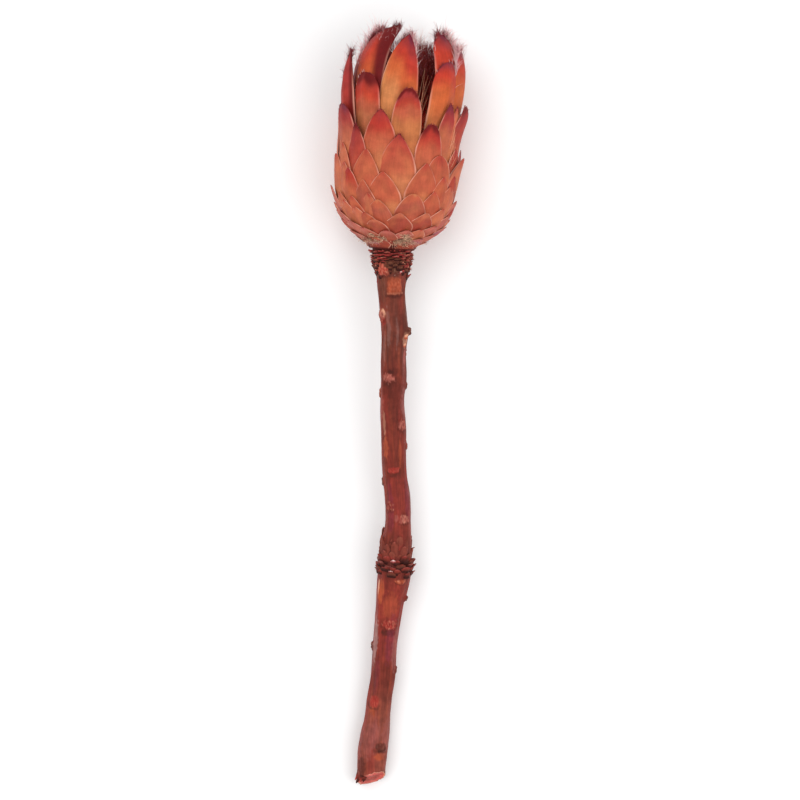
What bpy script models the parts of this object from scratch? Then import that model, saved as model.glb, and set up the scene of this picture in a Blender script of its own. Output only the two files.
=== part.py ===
"""One dried protea stem lying on its side: a woody stem, the scale-like outer bracts,
the long inner bracts and the florets that stand inside them.

Sizes are in millimetres through MM. X points to the right of the bloom, Y from the cut end
of the stem to the tips of the bracts, and Z up. The stem lies on the plane Z = 0.
A bract's angle is measured round the bloom's axis: 0 faces up, 90 points to +X and 180 down.
"""

import math
import random

import bmesh
import bpy
from mathutils import Matrix, Vector, noise

MM = 0.001
SEED = 34

# Moves what the lines below measure so that the origin lies under the middle of the whole.
ORIGIN_SHIFT = Vector((0.57, 0.9, 0.0)) * MM

# Where the bloom starts on the stem, and how its axis runs from there.
NECK = Vector((-3.7, 65.3, 23.9)) * MM
LEAN_DEG = 3.7
PITCH_DEG = 4.5

# Radius of the bloom at heights above the neck, as (height, radius).
OUTER_SHAPE = (
    (0, 8.6), (2, 10.6), (4.5, 14.4), (7, 17.8), (9.5, 20.4), (12, 22.5), (17, 25.1),
    (22.5, 26.7), (28, 27.6), (38, 27.8), (48, 27.7), (54, 28.1), (60, 28.7), (66, 28.8), (74, 28.4),
)
# The same for the long inner bracts, on their outer faces.
INNER_SHAPE = (
    (14, 17.9), (22, 21.1), (30, 22.3), (46, 22.8), (50, 23.5), (56, 24.8), (62, 26.0), (70, 27.0),
    (78, 27.0), (84, 25.9), (88, 24.4), (92, 22.2), (96, 18.9), (100, 14.5),
)
# How far below the outer shape the body that carries the bracts lies.
CORE_DEPTH = ((2, 1.2), (12, 1.5), (30, 2.1), (60, 2.3))

# The receptacle is the stem's own swollen end, inside the bloom, as (height, radius).
RECEPTACLE = ((-3, 7.4), (2, 8.6), (6, 9.4), (10, 9.4), (14, 8.4), (18, 6.6), (22.6, 3.4))
GAP = 0.38
CUP_INSIDE = ((12.2, 17.2), (16, 19.9), (22, 21.9), (30, 23.1), (45, 23.7))
CUP_FLOOR = 12.2
CUP_RIM = 45.0
CUP_FOOT = 1.4
CUP_FOOT_RADIUS = 9.8
RING_TOP = 22.6
CORE_SIDES = 22

BRACT_THICK = 0.95
# Share of the width at the root, place where it is widest, fullness, rim roll and twist.
OUTER_FORM = (0.8, 0.5, 2.2, 0.45, 0.28)
BASE_FORM = (0.7, 0.5, 2.2, 0.4, 0.25)
# Cells across and along a bract.
UPPER_CELLS = (4, 4)
LOWER_CELLS = (2, 3)
BASE_CELLS = (2, 2)
LONG_CELLS = (4, 6)

# Outer bracts of the upper side, as (angle, tip height, width, flare at the tip, tip moved sideways).
OUTER_BRACTS = (
    (-60, 63.8, 14.5, 0.5, 0.6), (74, 65.1, 12.5, 0.9, 0.0), (59, 63.8, 10.0, 0.0, -0.8),
    (49, 65.1, 13.5, 0.1, -1.0), (31, 56.7, 16.0, 0.1, -0.8), (6, 71.0, 13.6, 0.2, 0.2),
    (-19, 61.8, 16.5, 0.1, 1.0), (-42, 54.3, 12.5, -0.1, 0.0), (-0.5, 50.8, 17.6, 0.1, 0.5),
    (-31, 43.9, 15.5, 0.0, 1.0), (45, 42.1, 15.0, 0.0, -1.6), (26, 39.5, 15.0, 0.0, 0.8),
    (80, 43.0, 14.0, 1.5, 0.0), (-77, 41.5, 14.0, 0.8, 0.0), (-55, 37.8, 12.0, 0.0, 0.0),
    (-49, 35.6, 14.5, 0.1, 0.4), (-7, 34.7, 15.8, 0.0, 0.0), (-33, 31.4, 13.0, 0.1, 0.3),
    (-21, 24.4, 11.0, 0.1, 0.0), (17, 26.1, 14.0, 0.1, 0.0), (38, 27.5, 13.0, 0.0, 0.0),
    (60, 30.0, 13.0, 0.1, -0.6), (-84, 27.5, 12.5, 0.8, 0.0), (-62, 24.9, 12.0, 0.1, 0.0),
    (80, 24.0, 12.0, 0.2, 0.0), (-44, 23.6, 11.0, 0.0, 0.0), (0, 23.0, 11.0, 0.1, 0.0),
)
# The shorter ones stand in rings, as (tip height, how many, width, turned by).
BASE_RINGS = (
    (19.8, 15, 11.4, 5), (15.8, 14, 11.2, 14), (12.2, 13, 10.6, 2), (8.8, 12, 9.8, 12), (5.6, 10, 9.0, 0),
)

# Long inner bracts, as (angle, tip height, width, inset from the inner shape, tip turned in by,
# tip moved sideways, place where they are widest, how far their rims roll in).
LONG_BRACTS = (
    (-6, 95.2, 18.0, 0.0, 1.6, 4.6, 0.66, 2.4), (48, 83.0, 16.5, 0.0, 0.6, 0.0, 0.7, 1.6),
    (76, 89.5, 13.0, 0.0, -0.8, 0.0, 0.72, 1.2), (100, 86.0, 14.0, 0.0, 1.0, 0.6, 0.68, 1.0),
    (134, 90.0, 14.0, 0.0, 1.0, -0.5, 0.68, 1.0), (166, 87.0, 14.0, 0.0, 1.0, 0.4, 0.68, 1.0),
    (-158, 91.0, 13.5, 0.0, 1.0, 0.0, 0.68, 1.0), (-98, 77.0, 13.0, 0.0, 1.5, 0.0, 0.68, 1.0),
    (-68, 86.8, 12.0, 0.0, 2.4, 0.3, 0.7, 1.6), (-37, 78.5, 14.0, 0.0, 0.6, 0.3, 0.74, 1.2),
    (-37, 98.8, 16.5, 2.6, 4.2, 1.2, 0.82, 1.0), (-56, 92.0, 9.0, 3.6, 1.6, 0.0, 0.8, 0.6),
    (60, 95.4, 14.5, 1.8, 0.0, 0.0, 0.8, 1.0), (88, 90.0, 12.0, 3.2, 1.0, 0.4, 0.74, 0.8),
    (118, 93.0, 14.0, 3.2, 2.0, 0.0, 0.72, 0.8), (150, 95.0, 14.0, 3.2, 2.0, 0.4, 0.72, 0.8),
    (-178, 92.0, 13.5, 3.2, 2.0, 0.0, 0.72, 0.8),
)
LONG_ROOT = 15.0

FLORET_SHAPE = ((RING_TOP + GAP, 14.6), (34, 15.4), (48, 14.6), (60, 11.5), (69, 6.0))
FLORET_NEEDLES = 44
FLORET_TIP_HEIGHT = (74.0, 89.0)

# The stem's own line, from the neck to the cut end, as (x, y, z, radius).
STEM_LINE = (
    (-3.7, 65.3, 23.9, 8.0), (-3.6, 60.5, 23.6, 7.9), (-3.5, 55.5, 23.2, 6.8), (-3.5, 49.0, 22.7, 5.9),
    (-3.0, 40.0, 22.1, 5.8), (-2.2, 30.6, 21.2, 5.8), (-2.7, 21.5, 20.4, 5.3), (-2.8, 9.8, 19.5, 5.6),
    (-3.3, -0.7, 18.7, 5.2), (-2.8, -16.3, 17.5, 5.5), (-2.2, -31.9, 16.3, 5.4), (-1.1, -42.3, 15.4, 5.6),
    (-0.9, -52.7, 14.6, 5.5), (-1.6, -61.0, 13.9, 6.6), (-2.2, -70.5, 13.1, 7.3),
    (-2.9, -78.5, 12.4, 7.1), (-4.6, -88.0, 11.5, 6.0), (-5.9, -99.6, 10.4, 5.3),
    (-6.9, -110.0, 9.5, 5.3), (-7.6, -120.4, 8.6, 5.3), (-9.1, -130.8, 7.8, 5.4),
    (-10.3, -141.3, 7.1, 6.0), (-11.6, -150.5, 6.6, 6.7), (-12.2, -158.5, 6.1, 6.4),
    (-12.6, -165.3, 5.7, 6.1),
)
STEM_SIDES_RESOLUTION = 5
STEM_RINGS_PER_SPAN = 1
CUT_TURN_DEG = 9.0

# Raised leaf scars and buds on the stem, as (y along the stem, angle, length, width, height).
LEAF_SCARS = (
    (51.5, 6, 7.0, 5.2, 1.3), (38.5, -58, 5.5, 4.5, 1.2), (31.0, 78, 3.4, 3.0, 2.2),
    (11.0, -24, 5.4, 6.0, 1.4), (4.0, -100, 4.0, 3.2, 1.3), (7.5, 96, 3.6, 3.2, 1.0),
    (-9.6, 42, 4.6, 4.2, 1.3), (-19.0, 92, 3.6, 3.2, 0.9), (-29.0, -4, 3.4, 4.6, 1.1),
    (-34.0, -98, 3.6, 3.0, 1.0), (-45.0, -40, 5.0, 4.2, 1.0), (-76.5, 24, 3.4, 5.2, 1.5),
    (-84.5, 84, 4.2, 3.4, 1.4), (-97.0, 12, 5.0, 6.2, 1.5), (-107.0, -86, 4.2, 3.4, 1.5),
    (-116.5, 88, 3.6, 3.0, 0.9), (-132.5, -18, 5.2, 5.4, 1.3), (-151.0, 26, 4.4, 5.2, 1.3),
    (-148.5, -84, 15.0, 7.0, 2.0), (44.0, 170, 5.0, 4.6, 1.2), (22.0, 130, 4.6, 4.2, 1.2),
    (14.0, -150, 5.0, 4.6, 1.2), (-4.0, 165, 4.8, 4.4, 1.2), (-24.0, 150, 4.6, 4.4, 1.2),
    (-38.0, 200, 4.6, 4.4, 1.1), (-92.0, 150, 4.8, 4.6, 1.2), (-122.0, 205, 4.6, 4.2, 1.0),
)

# Small dry scales left on the stem, as (y, radius at their roots, how many, length, width,
# lean out in degrees).
COLLAR_ROWS = ((62.2, 7.5, 10, 3.0, 4.8, 28), (59.8, 7.3, 9, 3.2, 4.8, 24), (57.0, 6.6, 8, 3.2, 4.8, 26))
NODE_ROWS = (
    (-58.5, 6.0, 8, 3.4, 4.8, 20), (-62.5, 6.6, 9, 3.4, 4.8, 28), (-66.5, 6.9, 9, 3.4, 4.8, 32),
    (-70.5, 7.1, 9, 3.2, 4.8, 36),
)
SCALE_THICK = 1.3

WOOD_COLOUR = (0.21, 0.062, 0.038)
OUTER_COLOUR = (0.52, 0.14, 0.06)
INNER_COLOUR = (0.58, 0.12, 0.045)
FLORET_COLOUR = (0.12, 0.045, 0.03)


def clear_scene():
    for old in list(bpy.data.objects):
        bpy.data.objects.remove(old, do_unlink=True)


def new_collection(name):
    made = bpy.data.collections.new(name)
    bpy.context.scene.collection.children.link(made)
    return made


def plain_material(name, colour, roughness):
    made = bpy.data.materials.new(name)
    made.use_nodes = True
    shader = made.node_tree.nodes["Principled BSDF"]
    shader.inputs["Base Color"].default_value = (*colour, 1.0)
    shader.inputs["Roughness"].default_value = roughness
    shader.inputs["Metallic"].default_value = 0.0
    return made


def eased(points, at):
    """The value at a place along (place, value) pairs, on a smooth line through them."""
    if at <= points[0][0]:
        return points[0][1]
    if at >= points[-1][0]:
        return points[-1][1]
    i = max(k for k in range(len(points) - 1) if points[k][0] <= at)
    (x0, y0), (x1, y1) = points[i], points[i + 1]

    def slope(k):
        low, high = points[max(k - 1, 0)], points[min(k + 1, len(points) - 1)]
        return (high[1] - low[1]) / (high[0] - low[0])

    span = x1 - x0
    t = (at - x0) / span
    start = (2 * t**3 - 3 * t**2 + 1) * y0 + (t**3 - 2 * t**2 + t) * span * slope(i)
    return start + (-2 * t**3 + 3 * t**2) * y1 + (t**3 - t**2) * span * slope(i + 1)


def bloom_matrix():
    """The bloom's own frame: Z runs up its axis, and -Y faces up from the surface it lies on."""
    lean, pitch = math.radians(LEAN_DEG), math.radians(PITCH_DEG)
    axis = Vector((math.sin(lean), math.cos(lean) * math.cos(pitch), math.sin(pitch))).normalized()
    face = (Vector((0, 0, 1)) - axis * axis.z).normalized()
    right = axis.cross(face)
    turned = Matrix((right, -face, axis)).transposed().to_4x4()
    return Matrix.Translation(NECK) @ turned


def round_the_axis(angle_deg, radius, height):
    turn = math.radians(angle_deg)
    return Vector((radius * math.sin(turn), -radius * math.cos(turn), height)) * MM


def object_from(bm, name, collection, matrix=None):
    mesh = bpy.data.meshes.new(name)
    bm.to_mesh(mesh)
    bm.free()
    made = bpy.data.objects.new(name, mesh)
    collection.objects.link(made)
    if matrix is not None:
        made.matrix_world = matrix
    return made


def turned_solid(name, outline, sides, collection, matrix):
    """A solid turned from an outline of (radius, height) that runs down its outer side."""
    bm = bmesh.new()
    corners = [bm.verts.new(Vector((radius, 0, height)) * MM) for radius, height in outline]
    for one, two in zip(corners, corners[1:]):
        bm.edges.new((one, two))
    if outline[0][0] > 0.001:
        bm.edges.new((corners[-1], corners[0]))
    made = object_from(bm, name, collection, matrix)
    screw = made.modifiers.new("turn", "SCREW")
    screw.axis = "Z"
    screw.angle = math.tau
    screw.steps = sides
    screw.render_steps = sides
    screw.use_merge_vertices = True
    screw.merge_threshold = 0.00005
    return made


def bract_width(along, root_share, widest, fullness):
    """Share of a bract's full width at a place from 0, its root, to 1, its rounded tip."""
    if along < widest:
        return root_share + (1 - root_share) * math.sin(along / widest * math.pi / 2)
    fall = (along - widest) / (1 - widest)
    return max(1 - fall**fullness, 0.0) ** 0.72


def bract(name, place, face_radius, form, cells, collection, matrix):
    """One thin bract.

    place is its angle, the heights of its root and tip, its width and how far its tip is moved
    sideways. face_radius gives its outer face's radius from a height and the place along it.
    form is (share of the width at the root, place where it is widest, fullness, rim roll, twist).
    """
    angle, root, tip, width, sideways = place
    root_share, widest, fullness, roll, twist = form
    bm = bmesh.new()
    bmesh.ops.create_grid(bm, x_segments=cells[0], y_segments=cells[1], size=1.0)
    for corner in bm.verts:
        side = corner.co.x
        along = 1 - (1 - (corner.co.y + 1) / 2) ** 1.35
        height = root + (tip - root) * along
        radius = face_radius(height, along)
        half = width / 2 * bract_width(along, root_share, widest, fullness)
        turn = math.degrees((side * half + sideways * along**3) / max(radius, 6.0))
        drop = (roll * side * side - twist * side) * min(half / (width / 2), 1.0)
        corner.co = round_the_axis(angle + turn, radius - drop, height)
    bmesh.ops.remove_doubles(bm, verts=bm.verts, dist=0.02 * MM)
    bmesh.ops.triangulate(bm, faces=bm.faces)
    made = object_from(bm, name, collection, matrix)
    shell = made.modifiers.new("thickness", "SOLIDIFY")
    shell.thickness = BRACT_THICK * MM
    shell.offset = -1.0
    return made


def joined(base, repeats, name, collection, material):
    """The base with every piece of the repeats collection joined on as one body."""
    union = base.modifiers.new("join", "BOOLEAN")
    union.operation = "UNION"
    union.operand_type = "COLLECTION"
    union.collection = repeats
    union.solver = "MANIFOLD"
    made = as_mesh(base, name, collection)
    for piece in list(repeats.objects):
        bpy.data.objects.remove(piece, do_unlink=True)
    made.matrix_world = Matrix.Translation(ORIGIN_SHIFT) @ made.matrix_world
    made.data.materials.clear()
    made.data.materials.append(material)
    return made


def as_mesh(source, name, collection):
    """A plain mesh object with what the source's modifiers make, in the source's place.

    Overlapping roots can close small pockets between them; only the outermost skin is kept.
    """
    bpy.context.view_layer.update()
    graph = bpy.context.evaluated_depsgraph_get()
    mesh = bpy.data.meshes.new_from_object(source.evaluated_get(graph))
    mesh.name = name
    bm = bmesh.new()
    bm.from_mesh(mesh)
    skins = []
    left = set(bm.verts)
    while left:
        skin = [left.pop()]
        for corner in skin:
            for edge in corner.link_edges:
                other = edge.other_vert(corner)
                if other in left:
                    left.remove(other)
                    skin.append(other)
        skins.append(skin)
    skins.sort(key=len)
    for skin in skins[:-1]:
        bmesh.ops.delete(bm, geom=skin, context="VERTS")
    bm.to_mesh(mesh)
    bm.free()
    matrix = source.matrix_world.copy()
    bpy.data.objects.remove(source, do_unlink=True)
    made = bpy.data.objects.new(name, mesh)
    collection.objects.link(made)
    made.matrix_world = matrix
    return made


def outer_depth(height):
    return eased(CORE_DEPTH, height)


def outer_radius(height):
    return eased(OUTER_SHAPE, height)


def bract_length(tip):
    """How much of an outer bract stands out of the body, by the height of its tip."""
    return eased(((4, 3.0), (8.8, 6.0), (12, 7.6), (22, 13.0), (34, 18.5), (50, 25.0), (72, 30.0)), tip)


def outer_places():
    """Every outer bract: those of the upper side, the same again on the lower side, a little moved,
    and the rings of shorter ones."""
    draw = random.Random(SEED)
    places = [(*one, OUTER_FORM, UPPER_CELLS) for one in OUTER_BRACTS]
    for angle, tip, width, flare, sideways in OUTER_BRACTS:
        turned = angle + 180 + draw.uniform(-3, 3)
        lower_tip = tip + draw.uniform(-1.2, 1.2)
        places.append((turned, lower_tip, width, flare * 0.5, sideways, OUTER_FORM, LOWER_CELLS))
    for tip, count, width, turned in BASE_RINGS:
        for k in range(count):
            angle = 360 * (k + draw.uniform(-0.2, 0.2)) / count + turned
            grown = tip + draw.uniform(-1.1, 1.1)
            flare = draw.uniform(0.0, 0.3)
            sideways = draw.uniform(-0.6, 0.6)
            places.append((angle, grown, width, flare, sideways, BASE_FORM, BASE_CELLS))
    return places


def build_outer_bracts(parts, helpers, frame, material):
    body = [(eased(CUP_INSIDE, CUP_RIM) + 0.9, CUP_RIM)]
    body += [(outer_radius(h) - outer_depth(h), h) for h in (40, 30, 22, 16, 12, 9, 6, 4)]
    body += [(CUP_FOOT_RADIUS, CUP_FOOT), (eased(RECEPTACLE, CUP_FOOT) + GAP, CUP_FOOT)]
    body += [(eased(RECEPTACLE, h) + GAP, h) for h in (6, 10, CUP_FLOOR)]
    body += [(eased(CUP_INSIDE, h), h) for h in (CUP_FLOOR, 16, 22, 30, CUP_RIM)]
    base = turned_solid("outer_body", body, CORE_SIDES, helpers, frame)
    repeats = new_collection("outer_repeats")
    for k, (angle, tip, width, flare, sideways, form, cells) in enumerate(outer_places()):
        root = max(tip - bract_length(tip), CUP_FOOT + 0.6)
        sunk = outer_depth(root) + 0.6

        def face_radius(height, along, flare=flare, sunk=sunk):
            clear_of_stem = eased(RECEPTACLE, height) + GAP + 2 * BRACT_THICK
            return max(outer_radius(height) - sunk * (1 - along), clear_of_stem) + flare * along**4

        place = (angle, root, tip, width, sideways)
        bract(f"outer_{k}", place, face_radius, form, cells, repeats, frame)
    return joined(base, repeats, "outer_bracts", parts, material)


def build_inner_bracts(parts, helpers, frame, material):
    side = [(RING_TOP, 21.3), (16, 19.4), (CUP_FLOOR + GAP, 16.7)]
    body = [(radius, height) for height, radius in side]
    body += [(eased(RECEPTACLE, h) + GAP, h) for h in (CUP_FLOOR + GAP, 14, 18, RING_TOP)]
    base = turned_solid("inner_body", body, CORE_SIDES, helpers, frame)
    repeats = new_collection("inner_repeats")
    for k, (angle, tip, width, inset, turned_in, sideways, widest, roll) in enumerate(LONG_BRACTS):

        def face_radius(height, along, inset=inset, turned_in=turned_in):
            return eased(INNER_SHAPE, height) - inset * min(along * 4, 1) - turned_in * along**6

        place = (angle, LONG_ROOT, tip, width, sideways)
        form = (0.5, widest, 2.2, roll, 0.3)
        bract(f"long_{k}", place, face_radius, form, LONG_CELLS, repeats, frame)
    return joined(base, repeats, "inner_bracts", parts, material)


def build_florets(parts, helpers, frame, material):
    outline = [(0.0, FLORET_SHAPE[-1][0] + 2.0)]
    outline += [(radius, height) for height, radius in reversed(FLORET_SHAPE)]
    outline += [(0.0, FLORET_SHAPE[0][0])]
    base = turned_solid("floret_body", outline, 14, helpers, frame)
    repeats = new_collection("floret_repeats")
    draw = random.Random(SEED + 1)
    low, high = FLORET_TIP_HEIGHT
    for k in range(FLORET_NEEDLES):
        angle = k * 137.508
        share = math.sqrt((k + 0.5) / FLORET_NEEDLES)
        foot = round_the_axis(angle, 9.5 * share, 50 - 12 * share)
        turned = angle + draw.uniform(-14, 14)
        head = round_the_axis(turned, 12.4 * share, draw.uniform(low, high) - 3 * share)
        lean = (head - foot).to_track_quat("Z", "Y").to_matrix().to_4x4()
        bm = bmesh.new()
        place = Matrix.Translation((foot + head) / 2) @ lean
        reach = (head - foot).length
        bmesh.ops.create_cone(
            bm, cap_ends=True, segments=3, radius1=1.0 * MM, radius2=0.35 * MM, depth=reach, matrix=place
        )
        object_from(bm, f"floret_{k}", repeats, frame)
    return joined(base, repeats, "florets", parts, material)


def stem_spots():
    """Centres and radii along the stem, close together, read from a smooth line through its points."""
    spots = []
    last = len(STEM_LINE) - 1
    for span in range(last):
        for step in range(STEM_RINGS_PER_SPAN):
            spots.append(stem_at(span + step / STEM_RINGS_PER_SPAN))
    spots.append(stem_at(last))
    return spots


def stem_at(place):
    columns = [[(k, point[c]) for k, point in enumerate(STEM_LINE)] for c in range(4)]
    x, y, z, radius = (eased(column, place) for column in columns)
    return Vector((x, y, z)) * MM, radius


def stem_place(y):
    """The place along the stem's line that has this y."""
    low, high = 0.0, float(len(STEM_LINE) - 1)
    for _ in range(40):
        middle = (low + high) / 2
        if stem_at(middle)[0].y > y * MM:
            low = middle
        else:
            high = middle
    return (low + high) / 2


def on_stem(y, angle_deg):
    """A point of the bark, with the ways out of the stem and up along it."""
    place = stem_place(y)
    centre, radius = stem_at(place)
    up = (stem_at(max(place - 0.2, 0))[0] - stem_at(place + 0.2)[0]).normalized()
    face = (Vector((0, 0, 1)) - up * up.z).normalized()
    turn = math.radians(angle_deg)
    out = face * math.cos(turn) + up.cross(face) * math.sin(turn)
    return centre, radius, out, up


def axes_matrix(origin, out, up):
    """A frame with X out of the stem, Z up along it, and Y round it."""
    return Matrix.Translation(origin) @ Matrix((out, up.cross(out), up)).transposed().to_4x4()


def stem_scar(name, y, angle, length, width, height, collection):
    centre, radius, out, up = on_stem(y, angle)
    bm = bmesh.new()
    bmesh.ops.create_uvsphere(bm, u_segments=6, v_segments=3, radius=1.0)
    size = Matrix.Diagonal((2 * height * MM, width / 2 * MM, length / 2 * MM, 1))
    bmesh.ops.transform(bm, verts=bm.verts, matrix=size)
    origin = centre + out * (radius - height) * MM
    return object_from(bm, name, collection, axes_matrix(origin, out, up))


def stem_scale(name, y, angle, root_radius, length, width, lean_deg, collection):
    """A small dry scale: a flat blade with a pointed tip, its root sunk in the stem."""
    centre, _, out, up = on_stem(y, angle)
    lean = math.radians(lean_deg)
    rise = (up * math.cos(lean) + out * math.sin(lean)).normalized()
    level = (out * math.cos(lean) - up * math.sin(lean)).normalized()
    bm = bmesh.new()
    bmesh.ops.create_cone(bm, cap_ends=True, segments=4, radius1=1.0, radius2=0.25, depth=1.0)
    bmesh.ops.rotate(bm, verts=bm.verts, matrix=Matrix.Rotation(math.pi / 4, 3, "Z"))
    size = Matrix.Diagonal((SCALE_THICK * 0.707 * MM, width * 0.707 * MM, length * 1.5 * MM, 1))
    bmesh.ops.transform(bm, verts=bm.verts, matrix=size)
    origin = centre + out * root_radius * MM + rise * length * 0.2 * MM
    return object_from(bm, name, collection, axes_matrix(origin, level, rise))


def stem_tube(helpers):
    curve = bpy.data.curves.new("stem_line", "CURVE")
    curve.dimensions = "3D"
    curve.bevel_depth = MM
    curve.bevel_resolution = STEM_SIDES_RESOLUTION
    curve.use_fill_caps = True
    spots = stem_spots()
    spline = curve.splines.new("POLY")
    spline.points.add(len(spots) - 1)
    for point, (centre, radius) in zip(spline.points, spots):
        point.co = (*centre, 1.0)
        point.radius = radius
    source = bpy.data.objects.new("stem_curve", curve)
    mesh = bpy.data.meshes.new_from_object(source)
    bpy.data.objects.remove(source, do_unlink=True)
    bm = bmesh.new()
    bm.from_mesh(mesh)
    bmesh.ops.remove_doubles(bm, verts=bm.verts, dist=0.01 * MM)
    bm.to_mesh(mesh)
    bm.free()
    tube = bpy.data.objects.new("stem_tube", mesh)
    helpers.objects.link(tube)
    for corner in tube.data.vertices:
        spot = corner.co / MM
        centre = stem_at(stem_place(spot.y))[0]
        out = corner.co - centre
        if out.length > 3 * MM:
            grain = noise.noise(Vector((spot.x * 0.35, spot.y * 0.06, spot.z * 0.35)))
            corner.co += out.normalized() * grain * 0.5 * MM
    return tube


def box_cutter(name, helpers, centre, size, turn=None):
    bm = bmesh.new()
    bmesh.ops.create_cube(bm, size=1.0)
    bmesh.ops.transform(bm, verts=bm.verts, matrix=Matrix.Diagonal((*size, 1)))
    matrix = Matrix.Translation(centre) @ (turn or Matrix.Identity(4))
    made = object_from(bm, name, helpers, matrix)
    made.hide_render = True
    made.display_type = "WIRE"
    return made


def cut(target, cutter, name):
    trim = target.modifiers.new(name, "BOOLEAN")
    trim.operation = "DIFFERENCE"
    trim.object = cutter


def build_stem(parts, helpers, frame, material):
    tube = stem_tube(helpers)
    repeats = new_collection("stem_repeats")
    outline = [(0.0, RING_TOP)] + [(radius, height) for height, radius in reversed(RECEPTACLE)]
    outline += [(0.0, RECEPTACLE[0][0])]
    turned_solid("receptacle", outline, CORE_SIDES, repeats, frame)
    for k, (y, angle, length, width, height) in enumerate(LEAF_SCARS):
        stem_scar(f"scar_{k}", y, angle, length, width, height, repeats)
    draw = random.Random(SEED + 2)
    for row, (y, radius, count, length, width, lean) in enumerate((*COLLAR_ROWS, *NODE_ROWS)):
        for k in range(count):
            angle = 360 * (k + 0.5 * (row % 2) + draw.uniform(-0.15, 0.15)) / count
            grown = length * draw.uniform(0.8, 1.15)
            place = y + draw.uniform(-0.6, 0.6)
            stem_scale(f"scale_{row}_{k}", place, angle, radius, grown, width, lean, repeats)
    made = joined(tube, repeats, "stem", parts, material)
    end = Vector(STEM_LINE[-1][:3]) * MM + ORIGIN_SHIFT
    turn = Matrix.Rotation(math.radians(CUT_TURN_DEG), 4, "Z") @ Matrix.Rotation(math.radians(-12), 4, "X")
    end_cutter = box_cutter("end_cutter", helpers, end + Vector((0, -9.2, 0)) * MM, (0.04, 0.02, 0.04), turn)
    cut(made, end_cutter, "cut_end")
    return made


def main():
    clear_scene()
    parts = new_collection("dried_protea")
    helpers = new_collection("helpers")
    frame = bloom_matrix()
    wood = plain_material("wood", WOOD_COLOUR, 0.75)
    outer = plain_material("outer_bract", OUTER_COLOUR, 0.65)
    inner = plain_material("inner_bract", INNER_COLOUR, 0.6)
    floret = plain_material("floret", FLORET_COLOUR, 0.8)
    stem = build_stem(parts, helpers, frame, wood)
    outer_bracts = build_outer_bracts(parts, helpers, frame, outer)
    build_inner_bracts(parts, helpers, frame, inner)
    build_florets(parts, helpers, frame, floret)
    surface = box_cutter("surface_cutter", helpers, Vector((0, 0, -0.05)), (0.6, 0.6, 0.1))
    cut(stem, surface, "rest_on_surface")
    cut(outer_bracts, surface, "rest_on_surface")


main()
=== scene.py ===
"""A dried protea laid on a pale floor and seen from above.

The stem, the bracts and the florets are new pieces that stand for the frame's own solids, in
the same places, with finer shapes, hairs and wool. Sizes in the tables are in millimetres.
A bract's angle is measured round the bloom's axis: 0 faces up, 90 points to +X, 180 down.
"""

import math
import random
from typing import Callable, NamedTuple

import bmesh
import bpy
from bpy.props import FloatProperty, FloatVectorProperty, IntProperty, PointerProperty
from bpy.types import Operator, Panel, PropertyGroup
from mathutils import Matrix, Vector, noise


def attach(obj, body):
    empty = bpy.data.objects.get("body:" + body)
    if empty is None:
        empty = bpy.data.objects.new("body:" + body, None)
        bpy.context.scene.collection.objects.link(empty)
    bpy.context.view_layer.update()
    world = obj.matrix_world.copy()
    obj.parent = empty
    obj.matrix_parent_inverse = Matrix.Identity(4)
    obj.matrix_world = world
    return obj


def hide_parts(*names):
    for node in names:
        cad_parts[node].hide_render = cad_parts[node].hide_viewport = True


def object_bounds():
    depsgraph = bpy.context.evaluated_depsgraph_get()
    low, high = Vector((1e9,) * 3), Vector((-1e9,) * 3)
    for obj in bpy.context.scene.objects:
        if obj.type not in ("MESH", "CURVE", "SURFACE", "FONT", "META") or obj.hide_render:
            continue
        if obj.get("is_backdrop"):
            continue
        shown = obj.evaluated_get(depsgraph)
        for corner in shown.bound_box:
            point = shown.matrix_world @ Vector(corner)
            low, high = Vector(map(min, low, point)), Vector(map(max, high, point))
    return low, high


bl_info = {
    "name": "Dried protea",
    "version": (1, 0, 0),
    "blender": (4, 5, 0),
    "location": "3D View > Sidebar > Protea",
    "description": "Makes a dried protea with its bracts, florets, hairs and bark",
    "category": "Add Mesh",
}

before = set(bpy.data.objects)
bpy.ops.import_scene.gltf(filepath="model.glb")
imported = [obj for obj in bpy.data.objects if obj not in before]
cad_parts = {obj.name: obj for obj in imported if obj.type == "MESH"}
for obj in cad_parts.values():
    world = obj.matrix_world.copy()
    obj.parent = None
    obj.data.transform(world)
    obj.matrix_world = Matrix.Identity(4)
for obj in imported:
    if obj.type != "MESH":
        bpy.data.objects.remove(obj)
CAD_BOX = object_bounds()

MM = 0.001
SEED = 34

ORIGIN_SHIFT = Vector((0.57, 0.9, 0.0)) * MM
NECK = Vector((-3.7, 65.3, 23.9)) * MM
LEAN_DEG = 3.7
PITCH_DEG = 4.5
UPWARD = Vector((0, 0, 1))
# What would reach below this height is pressed flat just above the floor.
FLOOR_EASING = 0.3 * MM

# Radius of the bloom at heights above the neck, as (height, radius).
OUTER_SHAPE = (
    (0, 8.6), (2, 10.6), (4.5, 14.4), (7, 17.8), (9.5, 20.4), (12, 22.5), (17, 25.1),
    (22.5, 26.7), (28, 27.6), (38, 27.8), (48, 27.7), (54, 28.1), (60, 28.7), (66, 28.8), (74, 28.4),
)
INNER_SHAPE = (
    (14, 17.9), (22, 21.1), (30, 22.3), (46, 22.8), (50, 23.5), (56, 24.8), (62, 26.0), (70, 27.0),
    (78, 27.0), (84, 25.9), (88, 24.4), (92, 22.2), (96, 18.9), (100, 14.5),
)
CORE_DEPTH = ((2, 1.2), (12, 1.5), (30, 2.1), (60, 2.3))
RECEPTACLE = ((-3, 7.4), (2, 8.6), (6, 9.4), (10, 9.4), (14, 8.4), (18, 6.6), (22.6, 3.4))
CUP_INSIDE = ((12.2, 17.2), (16, 19.9), (22, 21.9), (30, 23.1), (45, 23.7))
GAP = 0.38
CUP_FOOT = 1.4
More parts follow.
